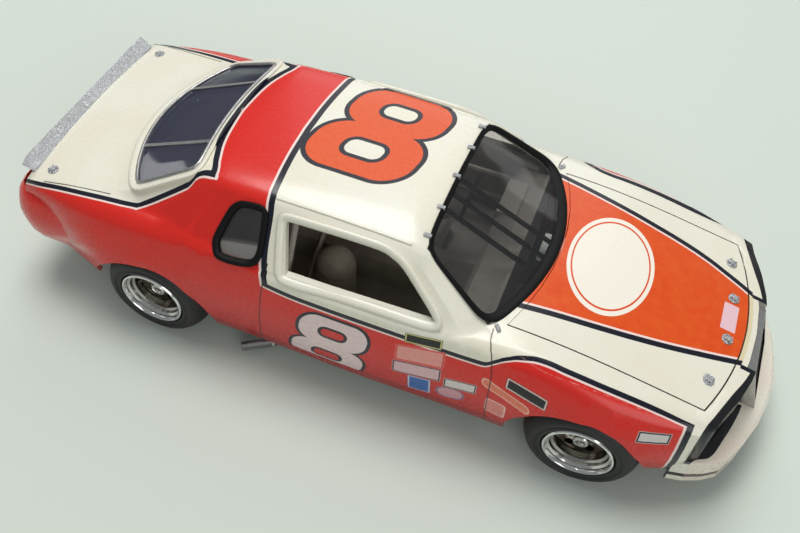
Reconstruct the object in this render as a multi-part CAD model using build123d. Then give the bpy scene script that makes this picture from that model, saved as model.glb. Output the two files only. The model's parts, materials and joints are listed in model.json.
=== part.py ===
from build123d import *
import os
from functools import cache
from math import cos, pi, sin

# Stock car coupe, a display model at 1:24, in millimetres.
# +X is the nose, +Y the car's left side, +Z up; the tyres stand on z = 0.

# Overall places
wheelbase = 116.4
front_axle_x = 60.4
rear_axle_x = front_axle_x - wheelbase
nose_x = 101.7
tail_x = -101.7
wall = 1.3                  # moulded wall of the shell and nose
sill_lip = 0.5              # the inner wall stands upright this far above the sill
seam = 0.2                  # open line between the hood and its surround
body_split_x = 82.0         # where the nose piece meets the shell
bar_sides = 8               # flats on thin bars
side_chords = 4             # chords for each bow of the body's section: side, shoulder, half the top
shoulder_chords = 2
crown_chords = 3
end_chords = 8              # chords for each bow seen in plan

# Wheels, measured from the car's centre plane outwards
tyre_radius = 14.7
tyre_face_y = 38.9
tyre_back_y = 26.8
tyre_shoulder_y = 35.0      # where the flat of the tread ends
tyre_face_radius = 12.0     # where the sidewall turns into the shoulder
rim_radius = 8.9
rim_wall = 0.9
rim_step_y = 36.4           # step in the dish
rim_step = 1.1
rim_disc_face_y = 34.0
rim_slot_count = 5
rim_slot_radii = (4.3, 6.3)
rim_slot_half_angle = 22.0
hub_radius = 2.6
hub_face_y = 35.8
spindle_radius = 1.2
spindle_clearance = 0.05
spindle_end_y = 34.8
knuckle_face_y = 29.6       # hub boss starts this far out, behind it the knuckle
wheel_fit_gap = 0.3

# columns: name, axle x, side
WHEELS = [
    ("front_left", front_axle_x, 1),
    ("front_right", front_axle_x, -1),
    ("rear_left", rear_axle_x, 1),
    ("rear_right", rear_axle_x, -1),
]

# Wheel arches: centre x from the axle, centre z, radius, lip depth of skin that stays
well_radius = 15.7
well_inner_y = 24.0
well_shoulder_y = 34.2      # beyond it the well narrows with the tyre's shoulder
WELL_MOUTH = (12.3, 39.1)   # radius, y
# columns: axle x, opening centre x offset, opening centre z, opening radius
ARCHES = [
    (front_axle_x, -1.6, 9.6, 17.6),
    (rear_axle_x, -1.4, 9.6, 17.6),
]

# Lower body: one row for each station along the car
# columns: x, sill z, sill y, waist z, waist y, shoulder z, shoulder y, top edge y, top edge z, crown z
BODY_STATIONS = [
    (-100.0, 18.5, 31.4, 26.0, 33.6, 33.4, 31.2, 28.6, 36.6, 37.9),
    (-78.0, 14.0, 34.4, 25.0, 36.4, 35.4, 34.6, 30.2, 39.2, 40.9),
    (-56.0, 8.5, 35.4, 24.5, 39.0, 36.2, 35.6, 31.2, 40.0, 41.9),
    (-20.0, 7.0, 34.2, 23.0, 37.1, 35.2, 35.7, 33.6, 37.8, 39.8),
    (20.0, 7.0, 34.2, 23.0, 37.1, 35.2, 35.7, 33.4, 38.0, 40.2),
    (45.0, 7.5, 34.8, 23.0, 38.1, 34.8, 35.7, 31.0, 38.0, 39.6),
    (62.0, 8.5, 35.4, 24.6, 39.0, 33.0, 35.7, 30.2, 35.8, 37.4),
    (75.0, 10.0, 33.8, 22.0, 37.2, 31.0, 34.4, 29.0, 33.4, 35.0),
    (96.0, 10.0, 28.6, 21.0, 31.0, 27.6, 29.0, 25.0, 29.4, 30.4),
]
tail_top = (-92.8, 38.9)    # x, z of the deck's rear edge
tail_foot = (-98.6, 17.0)   # x, z low on the rear panel

# Cabin: outline low at cabin_low_z and high at cabin_high_z, joined by straight rulings
# columns: low x, low y, high x, high y, x moved in and y moved in for each mm of inset
cabin_low_z = 37.0
cabin_high_z = 52.0
cabin_top_z = 54.6
CABIN_FRONT = (45.7, 0.0, 14.7, 0.0, -2.3, 0.0)
CABIN_SCREEN_CORNER = (33.4, 29.9, 12.8, 24.0, -1.7, -0.7)
CABIN_SIDE_FRONT = (22.5, 34.4, 7.0, 24.9, -0.4, -1.2)
CABIN_SIDE_MIDDLE = (-6.0, 34.9, -11.0, 25.0, 0.0, -1.25)
CABIN_SIDE_REAR = (-34.0, 34.7, -33.0, 24.5, 0.0, -1.25)
CABIN_QUARTER = (-56.0, 32.8, -40.5, 23.9, 0.9, -1.1)
CABIN_REAR_CORNER = (-73.6, 28.8, -45.6, 22.9, 1.7, -0.7)
CABIN_REAR = (-82.6, 0.0, -49.4, 0.0, 2.3, 0.0)
# columns: x, roof height on the centre line
ROOF_STATIONS = [(-60.0, 51.9), (-17.0, 54.0), (25.0, 52.0)]
# columns: y, drop below the centre line, with the roll at the drip rail
ROOF_SECTION = [(0.0, 0.0), (8.0, 0.12), (15.5, 0.46), (22.4, 1.0), (24.3, 1.8), (34.0, 9.8)]
roof_edge_y = 34.0

# Glass, as layers under the outer skin
glass_depth = 0.35
glass_wall = 0.75
brace_depth = 0.9
# windscreen and rear window in plan: bottom corner, bottom middle x, top corner, top middle x
SCREEN = ((31.6, 28.6), 39.9, (13.6, 23.0), 13.2)
REAR_WINDOW = ((-62.6, 25.8), -70.9, (-46.0, 21.6), -48.0)
# side openings seen from the side, as x, z
DOOR_WINDOW = [(22.0, 38.8), (-17.6, 38.4), (-20.4, 49.6), (4.6, 50.2), (9.6, 48.2)]
QUARTER_WINDOW = [
    (-25.0, 38.4), (-34.8, 38.0), (-36.6, 39.4), (-36.8, 41.4),
    (-34.2, 48.0), (-32.4, 49.6), (-27.0, 50.2), (-25.6, 49.2),
]
brace_ys = (1.5, -3.9, -9.2)
brace_width = 0.9
strap_y = 12.4
strap_width = 1.1

clip_length = 1.9
clip_width = 0.9
# columns: x, y, turn in degrees
CLIPS = [
    (12.6, 0.0, 0),
    (12.6, 11.0, 0),
    (12.6, -11.0, 0),
    (12.6, 20.0, 0),
    (12.6, -20.0, 0),
    (34.0, 28.6, 50),
    (34.0, -28.6, -50),
]

# Hood in plan
hood_rear_corner = (35.9, 26.7)
hood_rear_middle_x = 41.6
hood_front_corner = (83.5, 26.7)
hood_front_middle_x = 89.4
ledge_wall = 0.8            # ledge under the hood's edge
ledge_reach = 1.2
# columns: x, y of each fastener on the hood and deck
HOOD_PINS = [(82.6, 18.9), (82.6, -18.9), (85.6, 6.2), (85.6, -6.2)]
DECK_PINS = [(-88.4, 26.0), (-88.4, -26.0)]
pin_radius = 0.9
pin_height = 0.9

# Nose
header_front_x = 94.6
header_corner = (88.2, 26.6)
header_side = (84.0, 32.4)
bumper_top_z = 16.8
bumper_low_z = 6.8
bumper_corner = (93.6, 27.6)
bumper_bend = (89.0, 30.6)
bumper_side_y = 32.6
bumper_edge_cut = 0.8
lamp_low_z = 17.8
lamp_high_z = 25.8
lamp_inner_y = 11.0
lamp_outer_y = 28.4
lamp_back_x = 86.0
lamp_panel = 1.0
grille_half_width = 10.6
grille_frame = 1.0
grille_back_x = 88.0
grille_top_z = 31.4
GRILLE_OPENING = (18.0, 28.4)
# grille box seen from the side, as x, z
GRILLE_SIDE = [(88.0, 16.8), (98.0, 16.8), (93.9, 29.2), (91.2, 30.5), (88.0, 31.2)]
grille_depth = 0.8

# Tail
bumper_rear_low_z = 15.6
bumper_rear_high_z = 27.4
bumper_rear_corner = (-100.8, 30.6)
bumper_rear_bend = (-99.4, 33.5)
bumper_rear_side = (-91.5, 34.7)
bumper_rear_room = (-97.2, 31.0)  # x, y inside which the bar is open below the body
spoiler_foot = (-92.7, 38.0)
spoiler_tip = (-95.4, 40.8)
spoiler_wall = 0.6
spoiler_half_length = 28.6

# Floor and inside
pan_low_z = 7.8
pan_high_z = 8.8
pan_front_x = 34.0
pan_rear_x = -44.0
tunnel_half_width = 4.6
tunnel_top_z = 17.6
well_box_half_x = 17.2
well_box_y = 22.5
tub_wall = 0.9
tub_front_x = 32.0
tub_rear_x = -38.0
tub_side_z = 34.0
shelf_z = 36.0
shelf_rear_x = -76.0
shelf_half_width = 29.0
dash_rear_x = 22.5
dash_z = (29.5, 36.6)
dash_half_width = 26.4
seat_y = 14.0
seat_half_width = 7.2
seat_shell = 1.4
wheel_hub = (13.6, 14.0, 33.0)
wheel_ring_radius = 6.2
ring_sides = 24
column_end = (27.0, 14.0, 30.6)

BOTTLE = (-13.0, -15.0, 29.0)
bottle_radius = 5.4
bottle_sides = 16

# Roll cage, as tubes between named corners: x, y, z on the left side
cage_radius = 0.8
cage_sides = 6
cage_overrun = 0.45         # each bar runs this far past its corner
CAGE_POINTS = {
    "hoop_foot": (-19.4, 29.0, 9.7),
    "hoop_elbow": (-19.4, 29.0, 35.0),
    "hoop_top": (-19.4, 21.2, 49.6),
    "roof_front": (7.6, 20.8, 48.8),
    "pillar_foot": (27.6, 27.6, 36.6),
    "floor_front": (28.6, 28.4, 9.7),
    "stay_end": (-44.0, 23.5, 36.0),
    "door_front": (28.4, 29.0, 20.0),
    "door_rear": (-19.4, 29.0, 20.0),
    "belt_front": (28.0, 28.6, 29.0),
    "belt_rear": (-19.4, 29.0, 29.0),
}
CAGE_RUNS = [
    ("hoop_foot", "hoop_elbow"),
    ("hoop_elbow", "hoop_top"),
    ("hoop_top", "roof_front"),
    ("roof_front", "pillar_foot"),
    ("pillar_foot", "floor_front"),
    ("hoop_top", "stay_end"),
    ("door_front", "door_rear"),
    ("belt_front", "belt_rear"),
]

# Running gear
rail_y = (13.0, 16.0)
front_rail_z = (8.0, 12.0)
front_rail_x = (pan_front_x, 79.0)
rear_rail_z = (20.5, 23.5)
rear_rail_x = (-92.0, tub_rear_x - tub_wall)
tower_half_x = 3.4
tower_z = 21.0
engine_x = (42.0, 66.0)
engine_half_width = 9.0
engine_z = (12.0, 26.0)
sump_z = 8.2
gearbox_x = 21.0
shaft_radius = 1.2
shaft_front_z = 13.2
axle_tube_radius = 1.5
diff_radius = 4.2
brake_radius = 6.2
brake_y = (27.6, 29.4)
brake_sides = 24
axle_spring_radius = 2.2
spring_sides = 12
cell_x = (-92.0, -76.5)
cell_half_width = 13.0
cell_z = (11.5, 20.5)
radiator_x = (76.0, 79.0)
radiator_half_width = 14.0
radiator_z = (12.0, 26.0)
arm_low_z = 9.6
arm_high_z = 18.6
arm_radius = 0.9
knuckle_y = (25.6, 27.6)
pipe_radius = 1.3
pipe_wall = 0.35
pipe_sides = 10
pipe_overrun = 0.5
# centre line of the right exhaust, as x, y, z
PIPE_RUN = [
    (47.0, -10.0, 20.0),
    (44.0, -18.0, 18.0),
    (39.5, -20.5, 6.45),
    (-16.0, -27.0, 6.45),
    (-24.0, -32.5, 4.6),
    (-31.2, -36.0, 3.2),
]


def face_from(start, *steps):
    """Closed face: a step (x, y) is a line to it, (mx, my, x, y) an arc through m."""
    edges = []
    here = start
    for step in steps:
        if len(step) == 2:
            edges.append(Line(here, step))
        else:
            edges.append(ThreePointArc(here, step[:2], step[2:]))
        here = step[-2:]
    if here != start:
        edges.append(Line(here, start))
    return make_face(edges)


def bowed(start, middle, end, count):
    """Points along an arc, as chords: the start is left out, the end is in."""
    arc = ThreePointArc(start, middle, end)
    points = [arc @ (k / count) for k in range(1, count + 1)]
    return [(p.X, p.Y) for p in points]


def raised(face, low_z, high_z):
    """A plan face raised from low_z to high_z."""
    return extrude(Pos(0, 0, low_z) * face, high_z - low_z)


def across(face, low_y, high_y):
    """A face drawn as (x, z), swept from low_y to high_y."""
    plane = Plane(origin=(0, high_y, 0), x_dir=(1, 0, 0), z_dir=(0, -1, 0))
    return extrude(plane * face, high_y - low_y)


def block(x0, x1, y0, y1, z0, z1):
    return Pos((x0 + x1) / 2, (y0 + y1) / 2, (z0 + z1) / 2) * Box(x1 - x0, y1 - y0, z1 - z0)


def tube(start, end, radius):
    """Round bar between two points."""
    a, b = Vector(*start), Vector(*end)
    axis = b - a
    return extrude(Plane(origin=a, z_dir=axis) * Circle(radius), axis.length)


def rod(start, end, radius, sides=bar_sides, beyond=0.0):
    """Bar with flats between two points, run past each of them by beyond."""
    a, b = Vector(*start), Vector(*end)
    axis = b - a
    plane = Plane(origin=a - axis.normalized() * beyond, z_dir=axis)
    return extrude(plane * RegularPolygon(radius, sides), axis.length + 2 * beyond)


def both_sides(piece):
    return [piece, mirror(piece, about=Plane.XZ)]


def joined(pieces):
    """All the pieces fused into one shape."""
    total = pieces[0]
    for piece in pieces[1:]:
        total = total + piece
    return total


def body_section(row, inset, drop):
    """Outline across the car at one station, inset from the outer skin, open downwards by drop."""
    x, sill_z, sill_y, waist_z, waist_y, shoulder_z, shoulder_y, top_y, top_z, crown_z = row
    sill_y, waist_y, shoulder_y, top_y = (v - inset for v in (sill_y, waist_y, shoulder_y, top_y))
    shoulder_z, top_z, crown_z = shoulder_z - 0.5 * inset, top_z - inset, crown_z - inset
    bend_y = (shoulder_y + top_y) / 2 + 0.28 * (shoulder_y - top_y)
    bend_z = (shoulder_z + top_z) / 2 + 0.22 * (top_z - shoulder_z)
    foot = (sill_y, sill_z + (sill_lip if drop else 0))
    half = [foot] if drop == 0 else [(sill_y, sill_z - drop), foot]
    half += bowed(foot, (waist_y, waist_z), (shoulder_y, shoulder_z), side_chords)
    half += bowed((shoulder_y, shoulder_z), (bend_y, bend_z), (top_y, top_z), shoulder_chords)
    half += bowed((top_y, top_z), (0, crown_z), (-top_y, top_z), 2 * crown_chords)[:crown_chords]
    other = [(-y, z) for y, z in reversed(half[:-1])]
    plane = Plane(origin=(x, 0, 0), x_dir=(0, 1, 0), z_dir=(1, 0, 0))
    return plane * face_from(*half, *other)


@cache
def lower_form(inset=0.0, drop=0.0):
    """Lower body as a solid, its tail cut by the sloping rear panel."""
    form = loft([body_section(row, inset, drop) for row in BODY_STATIONS])
    top_x, top_z = tail_top
    foot_x, foot_z = tail_foot
    rise_x = (top_x - foot_x) / (top_z - foot_z)
    line_x = [foot_x + inset + rise_x * (z - foot_z) for z in (-20, 60)]
    behind = face_from((line_x[0], -20), (line_x[1], 60), (-140, 60), (-140, -20))
    return form - across(behind, -60, 60)


def cabin_outline(z, inset):
    """Plan of the cabin at one height, bowed at the ends and quarters."""
    t = (z - cabin_low_z) / (cabin_high_z - cabin_low_z)

    def at(row, side=1):
        low_x, low_y, high_x, high_y, in_x, in_y = row
        x = low_x + t * (high_x - low_x) + in_x * inset
        y = low_y + t * (high_y - low_y) + in_y * inset
        return (x, side * y)

    def corner_bend(a, b, side):
        (ax, ay), (bx, by) = at(a, side), at(b, side)
        return ((ax + bx) / 2 + 0.05 * abs(by - ay), (ay + by) / 2 + side * 0.09 * abs(bx - ax))

    corner, post = at(CABIN_SCREEN_CORNER), at(CABIN_SIDE_FRONT)
    middle, door_end = at(CABIN_SIDE_MIDDLE), at(CABIN_SIDE_REAR)
    quarter, last = at(CABIN_QUARTER), at(CABIN_REAR_CORNER)
    half = bowed(at(CABIN_SCREEN_CORNER, -1), at(CABIN_FRONT), corner, end_chords)[end_chords // 2 - 1:]
    half += bowed(corner, corner_bend(CABIN_SCREEN_CORNER, CABIN_SIDE_FRONT, 1), post, 2)
    half += bowed(post, middle, door_end, 2)
    half += bowed(door_end, quarter, last, 3)
    half += bowed(last, at(CABIN_REAR), at(CABIN_REAR_CORNER, -1), end_chords)[:end_chords // 2]
    other = [(x, -y) for x, y in reversed(half[1:-1])]
    return Pos(0, 0, z) * face_from(*half, *other)


@cache
def cabin_form(inset=0.0):
    """Cabin as a solid under the crowned roof, whose sides roll over into the walls."""
    walls = loft([cabin_outline(cabin_low_z - 2, inset), cabin_outline(cabin_top_z, inset)], ruled=True)
    rows = []
    for x, crown_z in ROOF_STATIONS:
        plane = Plane(origin=(x, 0, 0), x_dir=(0, 1, 0), z_dir=(1, 0, 0))
        half = [(y, crown_z - drop - inset) for y, drop in ROOF_SECTION]
        half += [(roof_edge_y, 30)]
        other = [(-y, z) for y, z in reversed(half[1:])]
        rows.append(plane * face_from(*half, *other))
    roof = loft(rows)
    y = roof_edge_y
    long = block(-95, -60, -y, y, 30, 50.5) + roof + block(25, 60, -y, y, 30, 50.5)
    return walls & long


@cache
def outer_form():
    return lower_form() + cabin_form()


def plan_prism(corners, bottom_middle_x, top_corners, top_middle_x):
    """Window opening seen from above, arcs along its top and bottom edge."""
    x0, y0 = corners
    x1, y1 = top_corners
    low = bowed((x0, -y0), (bottom_middle_x, 0), (x0, y0), end_chords)
    high = bowed((x1, y1), (top_middle_x, 0), (x1, -y1), end_chords)
    return raised(face_from((x0, -y0), *low, (x1, y1), *high), 30, 60)


def window_prism(which):
    if which == "screen":
        return plan_prism(SCREEN[0], SCREEN[1], SCREEN[2], SCREEN[3])
    if which == "rear":
        return plan_prism(REAR_WINDOW[0], REAR_WINDOW[1], REAR_WINDOW[2], REAR_WINDOW[3])
    outline = DOOR_WINDOW if which == "door" else QUARTER_WINDOW
    side = across(face_from(*outline), 18, 45)
    return joined(both_sides(side))


def hood_plan(grow=0.0):
    x0, y0 = hood_rear_corner
    x1, y1 = hood_front_corner
    start, turn = (x0 - grow, -y0 - grow), (x1 + grow, y1 + grow)
    rear = bowed(start, (hood_rear_middle_x - grow, 0), (x0 - grow, y0 + grow), end_chords)
    front = bowed(turn, (hood_front_middle_x + grow, 0), (x1 + grow, -y1 - grow), end_chords)
    return raised(face_from(start, *rear, turn, *front), 26, 45)


def wheel_wells():
    """Room for the wheels, and the openings through the fenders."""
    r, mouth_y = well_radius, WELL_MOUTH[1]
    well = face_from((0, well_inner_y), (r, well_inner_y), (r, well_shoulder_y), WELL_MOUTH, (0, mouth_y))
    cuts = []
    for axle_x, shift_x, centre_z, radius in ARCHES:
        for side in (1, -1):
            cuts.append(turned(well, side, axle_x))
            opening = Pos(axle_x + shift_x, side * 38, centre_z) * Rot(X=-90 * side)
            cuts.append(opening * Cylinder(radius, 12))
    return joined(cuts)


def header_plan(inset=0.0):
    """Nose seen from above, from the shell to the front of the header."""
    sx, sy = header_side[0] - inset, header_side[1] - inset
    cx, cy = header_corner[0] - inset, header_corner[1] - inset
    bend = ((sx + cx) / 2 + 1.0, (sy + cy) / 2 + 0.6)
    half = [(body_split_x, 40), (sx, 40), (sx, sy)] + bowed((sx, sy), bend, (cx, cy), 2)
    half += bowed((cx, cy), (header_front_x - inset, 0), (cx, -cy), end_chords)[:end_chords // 2]
    other = [(x, -y) for x, y in reversed(half[:-1])]
    return face_from(*half, *other)


def bumper_plan(inset=0.0):
    cx, cy = bumper_corner[0] - inset, bumper_corner[1] - inset
    bend = (bumper_bend[0] - inset, bumper_bend[1] - inset)
    start = (body_split_x, bumper_side_y - inset)
    half = [start] + bowed(start, bend, (cx, cy), 3)
    half += bowed((cx, cy), (nose_x - inset, 0), (cx, -cy), end_chords)[:end_chords // 2]
    other = [(x, -y) for x, y in reversed(half[:-1])]
    return face_from(*half, *other)


def nose_header():
    """Upper nose with pockets for the lamp panels and the place of the grille."""
    outer = lower_form() & raised(header_plan(), bumper_top_z, 45)
    hollow = lower_form(wall, 12) & raised(header_plan(wall), 0, 45)
    inner_y, outer_y = lamp_inner_y - wall, lamp_outer_y + wall
    pocket = block(lamp_back_x - wall, 110, inner_y, outer_y, bumper_top_z, lamp_high_z + wall)
    void = block(lamp_back_x, 110, lamp_inner_y, lamp_outer_y, lamp_low_z, lamp_high_z)
    header = (outer - hollow) + joined([side & outer for side in both_sides(pocket)])
    w = grille_half_width
    grille_place = block(grille_back_x, 120, -w, w, bumper_top_z - 1, grille_top_z)
    header = header - joined(both_sides(void)) - grille_place - hood_plan(seam)
    nose_part = block(body_split_x, grille_back_x - 1, -60, 60, 20, 60)
    ledge = ring_under_hood() & raised(header_plan(wall), 20, 45) & nose_part
    return header + ledge


def front_bumper():
    bar = raised(bumper_plan(), bumper_low_z, bumper_top_z)
    rims = bar.edges().filter_by(Plane.XY).filter_by(lambda e: e.center().X > body_split_x + 1)
    return chamfer(rims, bumper_edge_cut) - raised(bumper_plan(wall), 0, bumper_top_z - wall)


def grille_parts():
    """Frame of the grille and the dark face inside it."""
    w = grille_half_width
    box = across(face_from(*GRILLE_SIDE), -w, w) - hood_plan(seam)
    low_z, high_z = GRILLE_OPENING
    opening = block(grille_back_x - 1, 120, -w + grille_frame, w - grille_frame, low_z, high_z)
    (_, _), (foot_x, foot_z), (top_x, top_z) = GRILLE_SIDE[:3]
    rise_x = (top_x - foot_x) / (top_z - foot_z)
    at_low, at_high = (foot_x + rise_x * (z - foot_z) - grille_depth for z in (low_z, high_z))
    face = across(face_from((grille_back_x, low_z), (at_low, low_z), (at_high, high_z), (grille_back_x, high_z)),
                  -w + grille_frame, w - grille_frame)
    return box - opening, face - hood_plan(seam)


def lamp_panels():
    x0, x1 = lamp_back_x, lamp_back_x + lamp_panel
    return both_sides(block(x0, x1, lamp_inner_y, lamp_outer_y, lamp_low_z, lamp_high_z))


@cache
def ring_under_hood():
    """Ledge the hood rests on."""
    layer = lower_form(wall) - lower_form(wall + ledge_wall)
    return layer & (hood_plan(ledge_reach) - hood_plan(-ledge_reach))


def rear_bumper(outer_lower):
    cx, cy = bumper_rear_corner
    sx, sy = bumper_rear_side
    half = [(sx, sy)] + bowed((sx, sy), bumper_rear_bend, (cx, cy), 5)
    half += bowed((cx, cy), (tail_x, 0), (cx, -cy), 6)[:3]
    other = [(x, -y) for x, y in reversed(half[:-1])]
    bar = raised(face_from(*half, *other), bumper_rear_low_z, bumper_rear_high_z)
    rims = bar.edges().filter_by(Plane.XY).filter_by(lambda e: e.center().X < sx - 1)
    room_x, room_y = bumper_rear_room
    return chamfer(rims, bumper_edge_cut) - outer_lower - block(room_x, 0, -room_y, room_y, 0, 40)


def spoiler(outer_lower):
    (fx, fz), (tx, tz) = spoiler_foot, spoiler_tip
    back_x = fx - spoiler_wall
    plate = face_from((fx + 0.8, fz - 1.6), (back_x, fz - 1.2), (tx - spoiler_wall, tz), (tx, tz), (fx + 0.6, fz))
    return across(plate, -spoiler_half_length, spoiler_half_length) - outer_lower


def skin_height(form, x, y):
    """Height of a form's top at one place."""
    probe = block(x - 0.05, x + 0.05, y - 0.05, y + 0.05, 20, 70)
    return (probe & form).bounding_box().max.Z


def pins_on(form, places):
    pins = []
    for x, y in places:
        top = skin_height(form, x, y)
        low = top - 2.0
        pins.append(rod((x, y, low), (x, y, top + pin_height), pin_radius) - form)
    return pins


def clips_on(form):
    """Clips along the head of the windscreen and at its lower corners."""
    clips = []
    for x, y, turn in CLIPS:
        top = skin_height(form, x, y)
        clip = Pos(x, y, top - 0.4) * Rot(Z=turn) * Box(clip_length, clip_width, 2.0)
        clips.append(clip - form)
    return clips


def wheel_boxes():
    return joined([
        block(x - well_box_half_x, x + well_box_half_x, *sorted((side * well_box_y, side * 50)), 0, 34)
        for x in (front_axle_x, rear_axle_x)
        for side in (1, -1)
    ])


def chassis_pan(room):
    pan = room & block(pan_rear_x, pan_front_x, -45, 45, pan_low_z, pan_high_z)
    tunnel = block(-50, pan_front_x + 1, -tunnel_half_width, tunnel_half_width, 0, 12)
    arch = block(-70, -44, -30, 30, 0, 12)
    return pan - tunnel - arch - wheel_boxes()


def interior_tub(room):
    floor_z = pan_high_z + tub_wall
    floor = room & block(tub_rear_x, tub_front_x, -45, 45, pan_high_z, floor_z)
    side_room = block(tub_rear_x, tub_front_x, -45, 45, pan_high_z, tub_side_z)
    lining = (room - lower_form(wall + tub_wall)) & side_room
    firewall = room & block(tub_front_x - tub_wall, tub_front_x, -45, 45, pan_high_z, 38.0)
    bulkhead = room & block(tub_rear_x - tub_wall, tub_rear_x, -45, 45, pan_high_z, shelf_z)
    shelf = block(shelf_rear_x, tub_rear_x, -shelf_half_width, shelf_half_width, shelf_z - tub_wall, shelf_z)
    w, h = tunnel_half_width, tunnel_top_z
    tunnel = block(tub_rear_x - tub_wall, tub_front_x, -w - tub_wall, w + tub_wall, pan_high_z, h + tub_wall)
    bore = block(-60, 60, -w, w, 0, h)
    return joined([floor, lining, firewall, bulkhead, shelf, tunnel]) - bore - wheel_boxes()


def seat(floor_z):
    w = seat_half_width
    side_view = face_from(
        (-9.0, floor_z), (6.5, floor_z), (8.5, 14.6), (7.0, 16.0),
        (-3.0, 14.2, -7.6, 16.4), (-13.6, 38.6), (-14.2, 43.0), (-17.6, 43.0), (-17.4, 38.0),
        (-11.8, 16.0),
    )
    shell = across(side_view, seat_y - w, seat_y + w)
    rest = block(-20, -10, seat_y - w - 1, seat_y - 3.6, 37.4, 50)
    rest = rest + block(-20, -10, seat_y + 3.6, seat_y + w + 1, 37.4, 50)
    bolster = face_from((-8.0, 15.0), (7.2, 15.4), (6.4, 18.2), (-5.6, 18.4), (-9.4, 30.8), (-12.2, 31.4))
    middles = [seat_y + side * (w - 0.8) for side in (1, -1)]
    bolsters = [across(bolster, middle - 0.8, middle + 0.8) for middle in middles]
    return joined([shell - rest] + bolsters)


def cabin_bottle(floor_z):
    """Round-topped dark bottle on the right of the floor."""
    x, y, high_z = BOTTLE
    body = rod((x, y, floor_z), (x, y, high_z), bottle_radius, bottle_sides)
    rims = body.edges().filter_by(lambda e: e.center().Z > high_z - 0.1)
    return chamfer(rims, 0.7 * bottle_radius, 0.45 * bottle_radius)


def dashboard():
    low, high = dash_z
    view = face_from(
        (dash_rear_x + 2.6, low), (tub_front_x - tub_wall, low), (tub_front_x - tub_wall, high),
        (dash_rear_x + 1.4, high), (dash_rear_x, high - 1.6), (dash_rear_x + 0.8, low + 1.2),
    )
    hood = face_from((dash_rear_x - 0.8, high - 2.2), (dash_rear_x + 5, high - 0.2), (dash_rear_x + 5, high + 0.9),
                     (dash_rear_x - 0.2, high + 0.9))
    return across(view, -dash_half_width, dash_half_width) + across(hood, seat_y - 6.4, seat_y + 6.4)


def steering_wheel():
    hub, end = Vector(*wheel_hub), Vector(*column_end)
    plane = Plane(origin=hub, z_dir=hub - end)
    r = wheel_ring_radius
    flat_ring = RegularPolygon(r + 0.6, ring_sides) - RegularPolygon(r - 0.6, ring_sides)
    ring = plane * extrude(flat_ring, 0.5, both=True)
    spokes = [plane * (Rot(Z=turn) * Pos(r / 2, 0, 0) * Box(r, 1.0, 0.6)) for turn in (90, 210, 330)]
    boss = plane * extrude(RegularPolygon(1.5, bar_sides), 0.6, both=True)
    column = rod(wheel_hub, column_end, 0.8)
    return joined([ring, boss, column] + spokes)


def roll_cage():
    tubes = []
    for side in (1, -1):
        points = {name: (x, side * y, z) for name, (x, y, z) in CAGE_POINTS.items()}
        tubes += [rod(points[a], points[b], cage_radius, cage_sides, cage_overrun) for a, b in CAGE_RUNS]
    for name in ("hoop_top", "roof_front"):
        x, y, z = CAGE_POINTS[name]
        tubes.append(rod((x, -y, z), (x, y, z), cage_radius, cage_sides, cage_overrun))
    x, y, z = CAGE_POINTS["hoop_top"]
    foot_x, foot_y, foot_z = CAGE_POINTS["hoop_foot"]
    tubes.append(rod((x, y, z), (foot_x, -foot_y, foot_z + 1), cage_radius, cage_sides))
    cage = joined(tubes)
    floor = pan_high_z + tub_wall
    under_floor = block(-60, 60, -40, 40, floor - 5, floor)
    under_shelf = block(-60, tub_rear_x, -40, 40, shelf_z - 5, shelf_z)
    return cage - under_floor - under_shelf


def frame_rails():
    pieces = []
    tower_x = (front_axle_x - tower_half_x, front_axle_x + tower_half_x)
    for side in (1, -1):
        y0, y1 = sorted((side * rail_y[0], side * rail_y[1]))
        pieces.append(block(*front_rail_x, y0, y1, *front_rail_z))
        pieces.append(block(*tower_x, y0, y1, front_rail_z[1], tower_z))
    w = rail_y[0]
    pieces.append(block(*tower_x, -w, w, front_rail_z[0], sump_z + 1.2))
    pieces.append(block(front_rail_x[1] - 2.4, front_rail_x[1], -w, w, *front_rail_z))
    front = joined(pieces)
    rear = []
    for side in (1, -1):
        y0, y1 = sorted((side * rail_y[0], side * rail_y[1]))
        rear.append(block(*rear_rail_x, y0, y1, *rear_rail_z))
    rear.append(block(rear_rail_x[0], rear_rail_x[0] + 2.4, -w, w, *rear_rail_z))
    return front, joined(rear)


def engine_block():
    w = engine_half_width
    x0, x1 = engine_x
    low = block(x0 + 2, front_axle_x - tower_half_x - 0.4, -w + 3, w - 3, sump_z, engine_z[0])
    body = block(x0, x1, -w, w, *engine_z)
    heads = [block(x0 + 1, x1 - 1, *sorted((side * w, side * (w + 2.6))), 18.0, 25.0) for side in (1, -1)]
    ears = [block(49, 54, *sorted((side * w, side * rail_y[0])), 12.0, 15.0) for side in (1, -1)]
    return joined([body, low] + heads + ears)


def driveline():
    box = block(gearbox_x, engine_x[0], -3.8, 3.8, 10.2, 16.8)
    nose = rear_axle_x + diff_radius + 1.2
    shaft = rod((gearbox_x, 0, shaft_front_z), (nose, 0, tyre_radius), shaft_radius)
    return box + shaft


@cache
def rear_axle():
    half, z = brake_y[0], tyre_radius
    pieces = [rod((rear_axle_x, -half, z), (rear_axle_x, half, z), axle_tube_radius)]
    pieces.append(rod((rear_axle_x - 2.6, 0, z), (rear_axle_x + 2.2, 0, z), diff_radius, spring_sides))
    pieces.append(rod((rear_axle_x, 0, tyre_radius), (rear_axle_x + diff_radius + 1.2, 0, tyre_radius), 1.9))
    for side in (1, -1):
        y = side * (rail_y[0] + rail_y[1]) / 2
        pieces.append(block(rear_axle_x - 2.4, rear_axle_x + 2.4, y - 2.4, y + 2.4, z, z + 2.0))
        pieces += stub(rear_axle_x, side)
    return joined(pieces)


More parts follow.
